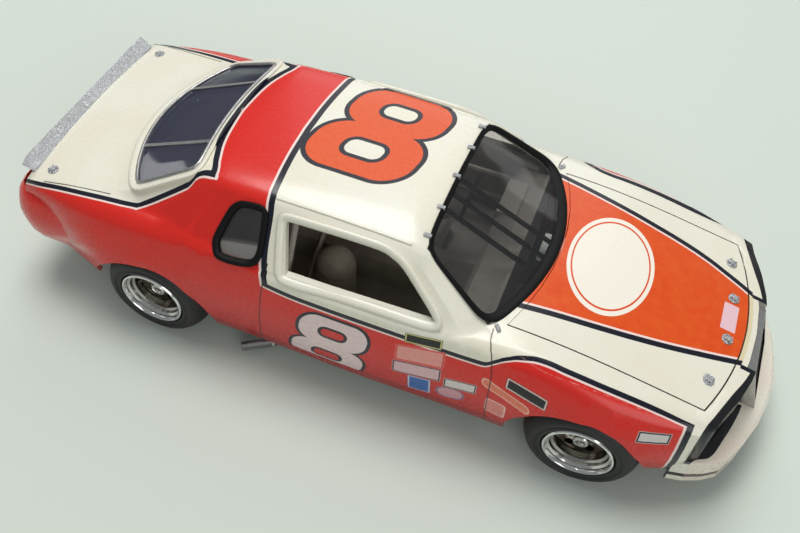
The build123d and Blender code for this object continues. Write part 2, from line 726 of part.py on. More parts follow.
def stub(axle_x, side):
    """Brake disc and spindle at the end of an axle or knuckle."""
    y0, y1 = brake_y
    disc = rod((axle_x, side * y0, tyre_radius), (axle_x, side * y1, tyre_radius), brake_radius, brake_sides)
    spindle = tube((axle_x, side * y0, tyre_radius), (axle_x, side * spindle_end_y, tyre_radius), spindle_radius)
    return [disc, spindle]


def rear_suspension():
    pieces = []
    for side in (1, -1):
        y = side * (rail_y[0] + rail_y[1]) / 2
        z0, z1 = tyre_radius + 2.0, rear_rail_z[0]
        pieces.append(rod((rear_axle_x, y, z0), (rear_axle_x, y, z1), axle_spring_radius, spring_sides))
    return pieces


def trailing_arms():
    pieces = []
    for side in (1, -1):
        y = side * 9.5
        bar = rod((tub_rear_x - tub_wall, y, 11.4), (rear_axle_x, y, tyre_radius - 0.4), 1.0)
        pieces.append(bar - rear_axle())
    return [p & block(rear_axle_x, tub_rear_x - tub_wall, -40, 40, 0, 40) for p in pieces]


def front_suspension():
    pieces = []
    out_y = knuckle_y[0]
    in_y = rail_y[1]
    for side in (1, -1):
        arms = []
        for dx in (-tower_half_x * 1.5, tower_half_x * 1.5):
            inner_end = (front_axle_x + dx, side * in_y, arm_low_z)
            arms.append(rod(inner_end, (front_axle_x, side * out_y, arm_low_z), arm_radius))
        arm_z = (arm_low_z - arm_radius, arm_low_z + arm_radius)
        tip_y = sorted((side * (out_y - 2.4), side * out_y))
        plate_y = sorted((side * (in_y + 1.2), side * (in_y + 5.2)))
        arms.append(block(front_axle_x - 1.4, front_axle_x + 1.4, *tip_y, *arm_z))
        arms.append(block(front_axle_x - 4.2, front_axle_x + 4.2, *plate_y, *arm_z))
        coil_y = side * (in_y + 3.2)
        arms.append(rod((front_axle_x, coil_y, arm_low_z), (front_axle_x, coil_y, arm_high_z), 1.8, spring_sides))
        seat_y0, seat_y1 = sorted((side * in_y, side * (in_y + 5.0)))
        arms.append(block(front_axle_x - 2.6, front_axle_x + 2.6, seat_y0, seat_y1, arm_high_z - 0.8, arm_high_z + 0.8))
        upper_inner = (front_axle_x, side * (in_y + 4.0), arm_high_z)
        arms.append(rod(upper_inner, (front_axle_x, side * out_y, arm_high_z), arm_radius))
        keep = block(front_axle_x - 9, front_axle_x + 9, *sorted((side * in_y, side * out_y)), 0, 40)
        pieces.append(joined(arms) & keep)
    return pieces


def front_knuckles():
    pieces = []
    for side in (1, -1):
        y0, y1 = sorted((side * knuckle_y[0], side * knuckle_y[1]))
        upright = block(front_axle_x - 1.6, front_axle_x + 1.6, y0, y1, arm_low_z - 1.6, arm_high_z + 1.6)
        pieces.append(joined([upright] + stub(front_axle_x, side)))
    return pieces


def exhaust_pipe():
    """Right-hand pipe, open at its tip."""
    parts = [rod(a, b, pipe_radius, pipe_sides, pipe_overrun) for a, b in zip(PIPE_RUN, PIPE_RUN[1:])]
    last, tip = Vector(*PIPE_RUN[-2]), Vector(*PIPE_RUN[-1])
    bore_start = tip + (tip - last).normalized()
    hole = RegularPolygon(pipe_radius - pipe_wall, pipe_sides)
    bore = extrude(Plane(origin=bore_start, z_dir=last - tip) * hole, 6.0)
    return joined(parts) - bore


def turned(profile, side, axle_x):
    """Ring about a wheel's axle from a profile of (radius, distance from the centre plane)."""
    plane = Plane(origin=(0, 0, 0), x_dir=(1, 0, 0), z_dir=(0, -1, 0))
    ring = revolve(plane * profile, Axis.Z)
    return Pos(axle_x, 0, tyre_radius) * Rot(X=-90 * side) * ring


def tyre_profile():
    return face_from(
        (rim_radius, tyre_face_y),
        (tyre_face_radius, tyre_face_y),
        (tyre_radius, tyre_shoulder_y),
        (tyre_radius, tyre_back_y),
        (rim_radius, tyre_back_y),
    )


def rim_profile():
    """Section of the stepped dish, its hub and the blind bore for the spindle."""
    dish, back_y = rim_radius - rim_wall, brake_y[1] + wheel_fit_gap
    bore = spindle_radius + spindle_clearance
    return face_from(
        (0, spindle_end_y + 0.2),
        (bore, spindle_end_y + 0.2),
        (bore, back_y),
        (rim_radius, back_y),
        (rim_radius, tyre_face_y),
        (dish, tyre_face_y),
        (dish, rim_step_y),
        (dish - rim_step, rim_step_y),
        (dish - rim_step, rim_disc_face_y),
        (hub_radius, rim_disc_face_y),
        (hub_radius, hub_face_y),
        (0, hub_face_y),
    )


def rim_slots(side, axle_x):
    cuts = []
    inner, outer = rim_slot_radii
    half = rim_slot_half_angle * pi / 180
    for k in range(rim_slot_count):
        middle = 2 * pi * k / rim_slot_count
        turns = [(inner, -half), (outer, -half), (outer, half), (inner, half)]
        corners = [(r * cos(middle + a), r * sin(middle + a)) for r, a in turns]
        cuts.append(raised(face_from(*corners), 28, 35))
    return Pos(axle_x, 0, tyre_radius) * Rot(X=-90 * side) * joined(cuts)


def save(name, shapes):
    """Writes one node's file from a shape or a list of solids that don't touch."""
    if isinstance(shapes, list):
        shapes = Compound(children=[solid for shape in shapes for solid in shape.solids()])
    export_step(shapes, f"parts/{name}.step")


def build_body():
    inside = lower_form(wall, 12) + cabin_form(wall)
    windows = joined([window_prism(name) for name in ("screen", "rear", "door", "quarter")])
    shell = outer_form() - inside - block(body_split_x, 130, -60, 60, -5, 60)
    shell = shell - windows - hood_plan(seam)
    ledge = ring_under_hood() - block(body_split_x, 130, -60, 60, -5, 60)
    save("body_shell", (shell + ledge) - wheel_wells())
    save("hood", (lower_form() & hood_plan()) - lower_form(wall, 12))
    save("rear_bumper", rear_bumper(lower_form()))
    save("spoiler", spoiler(lower_form()))
    save("body_pins", pins_on(lower_form(), HOOD_PINS + DECK_PINS))
    save("windscreen_clips", clips_on(outer_form()))


def build_nose():
    save("nose_header", nose_header())
    save("front_bumper", front_bumper())
    surround, grille = grille_parts()
    save("grille_surround", surround)
    save("grille", grille)
    save("lamp_panels", lamp_panels())


def build_glass():
    glass = cabin_form(glass_depth) - cabin_form(glass_depth + glass_wall)
    save("windscreen", glass & window_prism("screen"))
    save("rear_window", glass & window_prism("rear"))
    save("quarter_windows", glass & window_prism("quarter"))
    behind = cabin_form(glass_depth + glass_wall) - cabin_form(glass_depth + glass_wall + brace_depth)
    braces = [block(0, 60, y - brace_width / 2, y + brace_width / 2, 20, 60) for y in brace_ys]
    save("windscreen_braces", [behind & window_prism("screen") & brace for brace in braces])
    proud = cabin_form() - cabin_form(glass_depth)
    straps = [block(-90, -40, y - strap_width / 2, y + strap_width / 2, 20, 60) for y in (-strap_y, strap_y)]
    save("rear_window_straps", [proud & window_prism("rear") & strap for strap in straps])


def build_inside():
    room = lower_form(wall, 12)
    floor_z = pan_high_z + tub_wall
    save("chassis_pan", chassis_pan(room))
    save("interior_tub", interior_tub(room))
    save("seat", seat(floor_z))
    save("cabin_bottle", cabin_bottle(floor_z))
    save("dashboard", dashboard())
    save("steering_wheel", steering_wheel() - dashboard())
    save("roll_cage", roll_cage())


def build_running_gear():
    front_frame, rear_frame = frame_rails()
    save("front_frame", front_frame)
    save("rear_frame", rear_frame)
    save("engine_block", engine_block())
    save("driveline", driveline() - rear_axle())
    save("rear_axle", rear_axle())
    save("rear_springs", rear_suspension())
    save("trailing_arms", trailing_arms())
    save("front_suspension", front_suspension())
    save("front_knuckles", front_knuckles())
    save("exhaust_pipes", both_sides(exhaust_pipe() - engine_block()))
    save("fuel_cell", block(*cell_x, -cell_half_width, cell_half_width, *cell_z))
    save("radiator", block(*radiator_x, -radiator_half_width, radiator_half_width, *radiator_z))


def build_wheels():
    tyre, rim = tyre_profile(), rim_profile()
    for name, axle_x, side in WHEELS:
        save(f"tyre_{name}", turned(tyre, side, axle_x))
        save(f"rim_{name}", turned(rim, side, axle_x) - rim_slots(side, axle_x))


if __name__ == "__main__":
    os.makedirs("parts", exist_ok=True)
    build_body()
    build_nose()
    build_glass()
    build_inside()
    build_running_gear()
    build_wheels()
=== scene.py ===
# %% [markdown]
# This script dresses a 1:24 plastic model of a stock-car racing coupe.
# Its shapes come from a CAD model that is loaded as a fixed frame. Blender adds the painted livery,
# rubber, chrome, glass and the small trim, and never changes a size.
# The livery is worked out by the paint itself from the place of each point, so it needs no picture.

# %% The frame
import json
import math

import bmesh
import bpy
from mathutils import Matrix, Vector
from mathutils.bvhtree import BVHTree

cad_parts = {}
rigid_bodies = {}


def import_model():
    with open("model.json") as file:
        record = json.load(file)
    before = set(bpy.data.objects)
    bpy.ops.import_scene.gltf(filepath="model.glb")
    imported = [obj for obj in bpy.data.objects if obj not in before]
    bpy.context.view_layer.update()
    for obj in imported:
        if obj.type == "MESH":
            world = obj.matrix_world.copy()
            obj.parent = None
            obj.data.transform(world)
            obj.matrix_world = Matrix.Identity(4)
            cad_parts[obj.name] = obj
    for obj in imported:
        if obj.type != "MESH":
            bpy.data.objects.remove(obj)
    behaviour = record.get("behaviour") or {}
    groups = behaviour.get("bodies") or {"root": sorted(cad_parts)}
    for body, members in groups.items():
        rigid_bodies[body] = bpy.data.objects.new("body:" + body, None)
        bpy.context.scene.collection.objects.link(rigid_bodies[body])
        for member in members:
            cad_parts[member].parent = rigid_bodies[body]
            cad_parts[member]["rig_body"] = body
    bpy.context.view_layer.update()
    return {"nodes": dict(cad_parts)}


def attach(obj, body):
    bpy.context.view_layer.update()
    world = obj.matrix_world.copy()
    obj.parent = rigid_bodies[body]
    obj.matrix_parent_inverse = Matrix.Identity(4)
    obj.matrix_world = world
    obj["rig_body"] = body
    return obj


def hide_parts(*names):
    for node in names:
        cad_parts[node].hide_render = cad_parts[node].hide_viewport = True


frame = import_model()
MM = 0.001


def stand(name, data):
    """An object in the scene, at the origin."""
    made = bpy.data.objects.new(name, data)
    bpy.context.scene.collection.objects.link(made)
    return made


# %% [markdown]
# The camera stands where the photographer stood. Its place and turn were fitted to the wheels,
# roof corners and hood of the car, so the picture lines up without any shift of the lens. A
# constraint could aim it too, but a matrix of three directions also keeps its small roll.

# %% Camera
CAMERA_AT = Vector((49.364, -148.337, 205.911)) * MM
LOOK_AT = Vector((-4.407, 12.321, -4.277)) * MM
ROLL = math.radians(3.8906)
FOCAL_PIXELS = 887.21
IMAGE_WIDTH = 800
SENSOR = 36.0

ahead = (LOOK_AT - CAMERA_AT).normalized()
level = ahead.cross(Vector((0, 0, 1))).normalized()
above = level.cross(ahead)
right = level * math.cos(ROLL) + above * math.sin(ROLL)
up = above * math.cos(ROLL) - level * math.sin(ROLL)

lens = bpy.data.cameras.new("camera")
lens.sensor_fit = "HORIZONTAL"
lens.sensor_width = SENSOR
lens.lens = SENSOR * FOCAL_PIXELS / IMAGE_WIDTH
lens.clip_start = 0.01
camera = stand("camera", lens)
turn = Matrix((right, up, -ahead)).transposed().to_4x4()
camera.matrix_world = Matrix.Translation(CAMERA_AT) @ turn
bpy.context.scene.camera = camera
print("camera lens", round(lens.lens, 2), "mm")

# %% [markdown]
# A shader is a sum of small steps. One class stands for a value on its way through the nodes, and
# its operators add Math nodes, so that a stripe can be written as plain arithmetic on millimetres.
# Nodes could be placed and linked one by one, but a line of arithmetic is easier to read and mend.

# %% Shader maths
def colour(red, green, blue):
    """A colour as a screen shows it, 0 to 255, in the linear values that shaders use."""
    shares = [part / 255 for part in (red, green, blue)]
    linear = [s / 12.92 if s <= 0.04045 else ((s + 0.055) / 1.055) ** 2.4 for s in shares]
    return (*linear, 1.0)


class Value:
    """One output in a finish. Its operators add Math nodes."""

    def __init__(self, finish, socket):
        self.finish = finish
        self.socket = socket

    def math(self, operation, *others, clamp=False):
        settings = {"operation": operation, "use_clamp": clamp}
        return self.finish.node("ShaderNodeMath", settings, dict(enumerate((self, *others))))

    def __add__(self, other):
        return self.math("ADD", other)

    def __mul__(self, other):
        return self.math("MULTIPLY", other)

    def __sub__(self, other):
        return self.math("SUBTRACT", other)

    def __rsub__(self, other):
        return self.math("MULTIPLY", -1.0) + other

    def __truediv__(self, other):
        return self.math("DIVIDE", other)

    def __neg__(self):
        return self.math("MULTIPLY", -1.0)

    def __abs__(self):
        return self.math("ABSOLUTE")

    __radd__ = __add__
    __rmul__ = __mul__

    def least(self, other):
        return self.math("MINIMUM", other)

    def most(self, other):
        return self.math("MAXIMUM", other)

    def above(self, level, blur=0.08):
        """0 below the level and 1 above it, with an edge as wide as blur."""
        return ((self - level) / blur).math("ADD", 0.5, clamp=True)

    def within(self, half_width, blur=0.08):
        """1 where the value lies closer to 0 than half_width."""
        return (half_width - abs(self)).above(0.0, blur)


class Finish:
    """A material in the making: its nodes and its main shader."""

    def __init__(self, name, **settings):
        self.material = bpy.data.materials.new(name)
        self.material.use_nodes = True
        self.tree = self.material.node_tree
        self.shader = self.tree.nodes["Principled BSDF"]
        self.set(**settings)

    def set(self, **settings):
        for name, value in settings.items():
            title = "IOR" if name == "ior" else name.replace("_", " ").title()
            self.plug(self.shader.inputs[title], value)

    def plug(self, socket, value):
        if isinstance(value, Value):
            self.tree.links.new(value.socket, socket)
        else:
            socket.default_value = value

    def node(self, kind, settings=(), inputs=(), out=0):
        made = self.tree.nodes.new(kind)
        for name, value in dict(settings).items():
            if name == "line":
                points = made.mapping.curves[0].points
                points[0].location = value[0]
                points[-1].location = value[-1]
                for across, height in value[1:-1]:
                    points.new(across, height)
                for point in points:
                    point.handle_type = "AUTO_CLAMPED"
                made.mapping.update()
            else:
                setattr(made, name, value)
        for name, value in dict(inputs).items():
            self.plug(made.inputs[name], value)
        return Value(self, made.outputs[out])

    def millimetres(self):
        """The place on the object, as one vector and as x, y and z, in millimetres."""
        where = self.node("ShaderNodeTexCoord", out="Object")
        scaled = self.node("ShaderNodeVectorMath", {"operation": "SCALE"}, {0: where, "Scale": 1 / MM})
        parts = [self.node("ShaderNodeSeparateXYZ", (), {0: scaled}, out=axis) for axis in "XYZ"]
        return scaled, *parts

    def noise(self, where, scale, detail=3.0, roughness=0.55):
        settings = {"Vector": where, "Scale": scale, "Detail": detail, "Roughness": roughness}
        return self.node("ShaderNodeTexNoise", (), settings)

    def follow(self, value, points):
        """The height of a curve through (across, height) points."""
        across = [point[0] for point in points]
        height = [point[1] for point in points]
        low, wide = min(across), max(across) - min(across)
        foot, tall = min(height), max(height) - min(height)
        line = [((x - low) / wide, (h - foot) / tall) for x, h in points]
        share = self.node("ShaderNodeFloatCurve", {"line": line}, {"Value": (value - low) / wide})
        return share * tall + foot

    def mix(self, factor, under, over):
        settings = {"data_type": "RGBA", "blend_type": "MIX"}
        return self.node("ShaderNodeMix", settings, {0: factor, 6: under, 7: over}, out=2)

    def bump(self, height, distance):
        settings = {"Height": height, "Distance": distance, "Strength": 1.0}
        return self.node("ShaderNodeBump", (), settings)


print("shader maths ready")

# %% [markdown]
# The livery. On the model it is a set of decals over sprayed paint: a cream top, a red band that
# runs from the roof down into the red sides, and navy lines with a thin white line beside them.
# The band's edge is a line on a folded surface, so it is drawn in a chart of the body: x along the
# car, and g, the way from the roof's middle line outwards and down. Three curves in that chart
# give the edge, and the distance to it gives every line beside it. An image would need UV maps and
# blur from near by, while the chart stays sharp and runs on from piece to piece without a break.

# %% Places of the band and its lines
ROOF_TOP = 54.0
# x, g where the red side begins
SIDE_EDGE = [
    (-104, 49.4), (-91.3, 48.1), (-82.8, 46.6), (-70.8, 44.9), (-60.4, 43.4), (-54.5, 37.8),
    (-46.8, 29.8), (-41.7, 24.1), (-24.4, 54.6), (-20, 55.6), (-13, 56.3), (13, 56.5), (33, 56.1),
    (35.4, 54.4), (38.6, 51.4), (42.4, 49.4), (46, 48.7), (52, 49.4), (60, 50.5), (72, 52.2),
    (80, 53.8), (104, 59.0),
]
# g, x of the roof band's two edges
BAND_REAR = [
    (0, -46.3), (7, -45.8), (13.5, -44.9), (18.8, -43.3), (24.1, -41.7),
    (29.8, -46.8), (37.8, -54.5), (43.4, -60.4), (54, -74),
]
BAND_FRONT = [(0, -26.7), (10, -26.4), (20, -25.6), (30, -24.5), (43, -24.0), (54, -22.6)]
# how far a line thins where it runs slanting through the chart: x, share and g, share
SLANT_X = [(-104, 1.0), (-62, 1.0), (-59, 0.72), (-42, 0.72), (-40, 1.0), (104, 1.0)]
SLANT_G = [(0, 1.0), (22.5, 1.0), (25.5, 0.72), (43, 0.72), (46, 0.6), (54, 0.6)]
# where the red ends at the nose, at the sill's crease and on the tail
SIDE_END_X, SILL_CREASE = 81.5, 11.6
TAIL_LINE_Z, TAIL_START_X = 36.2, -93.0
NAVY_HALF, WHITE_LINE = 0.75, 0.6

CREAM = colour(228, 225, 210)
OLD_CREAM = colour(216, 204, 166)
RED = colour(212, 38, 28)
# painted shade: the next red darkens the sides towards the bottom
SHADE_RED = colour(166, 24, 30)
ORANGE = colour(216, 74, 18)
PALE_ORANGE = colour(224, 100, 30)
NAVY = colour(16, 20, 34)
LINE_WHITE = colour(236, 214, 206)
BROWN = colour(138, 96, 52)
DARK = colour(24, 24, 26)
# painted shade: the first red on the next line darkens the red below the sill's crease
SILL_SHADE_RED, SMEAR_RED = colour(120, 14, 20), colour(206, 30, 62)
PLATE_WHITE, PLATE_PINK, FIGURE_WHITE = colour(238, 231, 216), colour(226, 190, 196), colour(226, 204, 202)
# the last colour on the next line is a painted highlight along the fender's crease
STAIN_PINK, RUBBED_PINK, CREASE_HIGHLIGHT_PINK = colour(238, 190, 182), colour(232, 190, 184), colour(240, 190, 180)
SPECK_BROWN, SEAM_BROWN, GRIME = colour(176, 140, 84), colour(52, 40, 40), colour(150, 132, 112)

print("livery lines:", len(SIDE_EDGE), "points on the side,", len(BAND_REAR), "behind the roof")

# %% [markdown]
# Every plate, ring and numeral is drawn as a distance in millimetres from its edge, less than 0
# inside. One such value then gives both the filled shape and the line round it, always even and
# sharp however near the camera comes. The numeral is a plain figure made of two rings.


# %% Outlines as distances
def rounded_box(across, along, half_across, half_along, corner):
    """Distance in millimetres to the edge of a box with round corners, less than 0 inside."""
    out_across = abs(across) - (half_across - corner)
    out_along = abs(along) - (half_along - corner)
    squares = out_across.most(0.0) * out_across.most(0.0) + out_along.most(0.0) * out_along.most(0.0)
    return squares.math("SQRT") + out_across.most(out_along).least(0.0) - corner


def numeral(across, along, half_width, height):
    """Distance to the edge of a plain figure eight: two round-cornered rings, one on the other."""
    low, high = -0.235 * height, 0.245 * height
    ring_low = rounded_box(across, along - low, half_width, 0.275 * height, 0.24 * height)
    ring_high = rounded_box(across, along - high, 0.92 * half_width, 0.255 * height, 0.225 * height)
    hole_low = rounded_box(across, along - low, 0.38 * half_width, 0.095 * height, 0.085 * height)
    hole_high = rounded_box(across, along - high, 0.34 * half_width, 0.085 * height, 0.08 * height)
    return ring_low.least(ring_high).most(-hole_low).most(-hole_high)


def oval(across, along, half_across, half_along):
    """Distance to the edge of an oval, near enough for thin rings."""
    share_across, share_along = across / half_across, along / half_along
    unit = share_across * share_across + share_along * share_along
    return (unit.math("SQRT") - 1.0) * min(half_across, half_along)


print("outlines: box, figure and oval")


# %% [markdown]
# Panels of a moulded body are parted by engraved lines. A groove in the mesh would need a fine net
# of faces, so the paint draws each line dark, and a little bump sinks it.

# %% Seams between panels
HOOD_SIDE, HOOD_REAR, HOOD_FRONT = 26.8, 35.8, 83.6
HOOD_FRONT_BOW, HOOD_LOW = 5.9, 26.0
FLANK_Y, DOOR_TOP = 29.0, 39.6
DECK_MIDDLE, DECK_HALF, DECK_LOW = -78.4, 9.6, 37.0
# half widths of the lines
HOOD_END_SEAM, HOOD_SIDE_SEAM, DOOR_SEAM, DECK_SEAM = 0.16, 0.14, 0.13, 0.12
# z, x of the door's front and rear ends
DOOR_FRONT = [(4, 36.4), (28.9, 36.1), (37.1, 34.7), (38.6, 33.2), (44, 30.0)]
DOOR_REAR = [(4, -26.8), (8, -26.0), (32, -23.4), (44, -22.2)]
# x, distance from the middle of the deck lid's side seams
DECK_SIDE = [(-95, 31.0), (-87.6, 30.4), (-79, 29.6), (-68.2, 28.8)]


def hood_front(paint):
    """How far a point lies behind the hood's bowed front edge."""
    bowed = 1.0 - (paint.y / HOOD_SIDE) * (paint.y / HOOD_SIDE)
    return bowed * HOOD_FRONT_BOW + HOOD_FRONT - paint.x


def seam_lines(paint):
    """1 on the thin open lines round the hood, doors and deck lid."""
    x, z, out = paint.x, paint.z, abs(paint.y)
    middle, half = (HOOD_REAR + HOOD_FRONT) / 2, (HOOD_FRONT - HOOD_REAR) / 2
    front = hood_front(paint).within(HOOD_END_SEAM) * (HOOD_SIDE - out).above(0.0)
    side = (out - HOOD_SIDE).within(HOOD_SIDE_SEAM) * (x - middle).within(half)
    hood = front.most(side) * z.above(HOOD_LOW)
    door_front = (x - paint.follow(z, DOOR_FRONT)).within(DOOR_SEAM)
    door_rear = (x - paint.follow(z, DOOR_REAR)).within(DOOR_SEAM)
    door = door_front.most(door_rear) * out.above(FLANK_Y) * (DOOR_TOP - z).above(0.0)
    deck = (out - paint.follow(x, DECK_SIDE)).within(DECK_SEAM) * (x - DECK_MIDDLE).within(DECK_HALF)
    return hood.most(door).most(deck * z.above(DECK_LOW))


print("seams:", len(DOOR_FRONT) + len(DOOR_REAR), "points on the door,", len(DECK_SIDE), "on the deck")

# %% [markdown]
# The paint itself, layer by layer, in the order in which the model was finished: cream that has
# yellowed unevenly with rusty specks on the roof, then the red with its lines, then the hood panel.
# Each layer is one function that lays its colour over the one before. One long sum could give the
# colour at once, but layers can be read, moved or left out one at a time.


# %% Cream, red and the lines between them
RUST_X, RUST_FADE, RUST_LOW = 2.0, 0.12, 50.0
# painted shade: from the first height down, over the second span, the red is painted darker
DEEP_FROM, DEEP_OVER = 30.0, 22.0
SIDE_Y, SIDE_TOP = 33.0, 37.6


def aged_cream(paint):
    """The cream ground, yellowed in clouds, with brown specks near the roof's front."""
    yellowed = (paint.noise(paint.where, 0.05) * 1.6 - 0.55).math("MULTIPLY", 0.5, clamp=True)
    base = paint.mix(yellowed, CREAM, OLD_CREAM)
    specks = paint.noise(paint.where, 1.1, detail=4.0, roughness=0.7).above(0.735, 0.03)
    roof_front = abs(paint.x - RUST_X).math("MULTIPLY", -RUST_FADE) + 1.4
    specks = specks * roof_front.math("MULTIPLY", 1.0, clamp=True) * paint.z.above(RUST_LOW, 2.0)
    return paint.mix(specks * 0.8, base, BROWN)


def red_sides(paint, painted):
    """The red sides and roof band, with a white and a navy line along every edge."""
    x, z, g = paint.x, paint.z, paint.g
    rear = (x - paint.follow(g, BAND_REAR)) * paint.follow(g, SLANT_G)
    front = paint.follow(g, BAND_FRONT) - x
    side = ((g - paint.follow(x, SIDE_EDGE)) * paint.follow(x, SLANT_X)).least(SIDE_END_X - x)
    inside = side.most(rear.least(front) * 0.97)
    inside = inside.most((TAIL_LINE_Z - z).least(TAIL_START_X - x))
    inside = inside.least(SIDE_END_X - x)
    # painted shade: the red is painted darker towards the bottom
    low_shade = ((DEEP_FROM - z) / DEEP_OVER).math("MULTIPLY", 0.55, clamp=True)
    shaded_red = paint.mix(low_shade, RED, SHADE_RED)
    # painted shade: the red below the sill's crease is painted darker
    sill_shade = (SILL_CREASE - z).above(0.0, 0.3) * abs(paint.y).above(SIDE_Y)
    shaded_red = paint.mix(sill_shade * 0.45, shaded_red, SILL_SHADE_RED)
    painted = paint.mix(inside.above(NAVY_HALF), painted, LINE_WHITE)
    painted = paint.mix(inside.above(NAVY_HALF + WHITE_LINE), painted, shaded_red)
    return paint.mix(inside.within(NAVY_HALF), painted, NAVY)


print("navy lines", 2 * NAVY_HALF, "mm wide")

# %% [markdown]
# The hood carries an orange panel that narrows towards the nose, between two navy lines. It could
# be a thin sheet laid on the hood, but paint has no thickness. So it is the strip between two
# curves, and the nearer of their two distances gives the fill and both lines.

# %% The orange panel on the hood
# x, y of the orange panel's navy lines, right and left of the car
ORANGE_RIGHT = [(34, -21.0), (44, -19.8), (56, -18.3), (68, -16.1), (80, -13.1), (92, -9.6)]
ORANGE_LEFT = [(34, 25.4), (46, 22.9), (60, 20.3), (74, 17.5), (83, 14.4), (92, 10.6)]
# x, y, half length, half width
ROUND_PLATE = (54.0, 1.1, 10.8, 15.9)
SMALL_PLATE = (84.9, 1.2, 1.9, 4.2)
RING_INSET, RING_HALF, SMALL_CORNER = 1.15, 0.2, 0.2
PANEL_START_X, PANEL_LOW, PANEL_PAST = 33.4, 29.6, 1.2
SMEAR_X, SMEAR_FADE, SMEAR_Y, SMEAR_HALF = 36.5, 0.3, -3.0, 9.0


def hood_panel(paint, painted):
    """Streaky orange between two navy lines, with a red smear and two blank plates."""
    x, y = paint.x, paint.y
    panel = (y - paint.follow(x, ORANGE_RIGHT)).least(paint.follow(x, ORANGE_LEFT) - y)
    to_front = hood_front(paint)
    streaks = (paint.noise(paint.where, 0.35, detail=4.0) * 2.2 - 0.8).math("MULTIPLY", 0.6, clamp=True)
    orange = paint.mix(streaks, ORANGE, PALE_ORANGE)
    near_screen = (x - SMEAR_X).math("MULTIPLY", -SMEAR_FADE) + 1.0
    smear = near_screen + paint.noise(paint.where, 0.8, detail=4.0) * 1.8 - 0.9
    smear = smear.above(0.55, 0.3) * (y - SMEAR_Y).within(SMEAR_HALF, 4.0)
    orange = paint.mix(smear * 0.8, orange, SMEAR_RED)
    hood = paint.mix(panel.above(NAVY_HALF), NAVY, LINE_WHITE)
    hood = paint.mix(panel.above(NAVY_HALF + WHITE_LINE), hood, orange)
    beyond = (-to_front).above(-0.05)
    hood = paint.mix(beyond * panel.above(NAVY_HALF), hood, OLD_CREAM)

    plate_x, plate_y, half_x, half_y = ROUND_PLATE
    disc = oval(x - plate_x, y - plate_y, half_x, half_y)
    ringed = paint.mix((disc + RING_INSET).within(RING_HALF), PLATE_WHITE, ORANGE)
    hood = paint.mix((-disc).above(0.0), hood, ringed)
    plate_x, plate_y, half_x, half_y = SMALL_PLATE
    small = rounded_box(x - plate_x, y - plate_y, half_x, half_y, SMALL_CORNER)
    hood = paint.mix((-small).above(0.0), hood, PLATE_PINK)
    on_hood = x.above(PANEL_START_X) * (to_front + PANEL_PAST).above(0.0) * paint.z.above(PANEL_LOW)
    return paint.mix(panel.above(-NAVY_HALF) * on_hood, painted, hood)


print("panel lines:", len(ORANGE_RIGHT), "points each")

# %% [markdown]
# A leaning figure stands on the roof and on each door, and blank plates stand round each front
# wheel. Flat shapes cut from a mesh would float on the curved sides. Here every shape is a
# distance that leans by a share of its height, and one table keeps the plates' places together.

# %% Numerals and blank plates
# place along and across, half width, height
ROOF_FIGURE = (-9.5, 6.7, 14.2, 34.0)
DOOR_FIGURE = (-5.2, 20.2, 10.3, 22.6)
FIGURE_LEAN = 0.2
ROOF_LINE_HALF, DOOR_LINE_HALF, PLATE_LINE_HALF, PLATE_LINE_INSET = 0.6, 0.45, 0.18, 0.3
ROOF_FROM = 50.4
# x, across, half widths, corner radius, lean, fill, rim: blank plates on each front fender and door
SIDE_PLATES = [
    ("black plate", 18.7, 34.3, 4.6, 1.6, 0.3, -0.13, DARK, colour(196, 190, 120)),
    ("tall pale plate", 18.4, 29.0, 6.1, 2.9, 0.4, -0.20, colour(226, 150, 140), RED),
    ("second pale plate", 18.0, 23.0, 6.2, 2.6, 0.4, -0.20, colour(214, 176, 178), NAVY),
    ("blue plate", 18.9, 16.4, 3.0, 3.8, 0.3, -0.20, colour(38, 96, 168), colour(200, 200, 210)),
    ("pale oval", 27.0, 17.6, 3.7, 2.9, 2.8, -0.20, colour(206, 150, 156), colour(60, 66, 120)),
    ("small white plate", 29.2, 23.0, 4.1, 1.9, 0.3, -0.22, colour(214, 206, 200), DARK),
    ("dark plate", 44.9, 29.6, 5.2, 1.7, 0.4, 0.22, DARK, colour(220, 200, 190)),
    ("orange oval", 40.4, 26.2, 6.4, 1.6, 1.5, 0.38, colour(222, 120, 92), colour(236, 178, 160)),
    ("square plate", 38.6, 19.1, 2.7, 3.4, 1.0, 0.1, colour(220, 130, 120), colour(232, 190, 184)),
    ("front plate", 74.8, 27.9, 3.6, 1.5, 0.2, -0.03, colour(206, 200, 196), NAVY),
]


def numerals(paint, painted):
    """A leaning figure on the roof and on each door, with a navy line round it."""
    figure_x, figure_y, half_width, height = ROOF_FIGURE
    upward = paint.y - figure_y
    figure = numeral(paint.x - figure_x - upward * FIGURE_LEAN, upward, half_width, height)
    on_roof = paint.z.above(ROOF_FROM)
    orange = paint.mix(paint.fine * 0.5, ORANGE, PALE_ORANGE)
    painted = paint.mix((-figure).above(0.0) * on_roof, painted, orange)
    painted = paint.mix(figure.within(ROOF_LINE_HALF) * on_roof, painted, NAVY)

    figure_x, figure_z, half_width, height = DOOR_FIGURE
    upward = paint.z - figure_z
    leaning = paint.x - figure_x + paint.y.math("SIGN") * upward * FIGURE_LEAN
    figure = numeral(leaning, upward, half_width, height)
    on_door = paint.on_side * paint.z.above(SILL_CREASE)
    painted = paint.mix((-figure).above(0.0) * on_door, painted, FIGURE_WHITE)
    return paint.mix(figure.within(DOOR_LINE_HALF) * on_door, painted, NAVY)


def plates(paint, painted):
    """The small blank plates round each front wheel."""
    for name, plate_x, plate_z, half_x, half_z, corner, slope, fill, rim in SIDE_PLATES:
        across = paint.x - plate_x
        plate = rounded_box(across, paint.z - plate_z + across * slope, half_x, half_z, corner)
        painted = paint.mix((-plate).above(0.0) * paint.on_side, painted, fill)
        rim_line = (plate + PLATE_LINE_INSET).within(PLATE_LINE_HALF)
        painted = paint.mix(rim_line * paint.on_side, painted, rim)
    return painted


print("blank plates:", len(SIDE_PLATES) + 2)

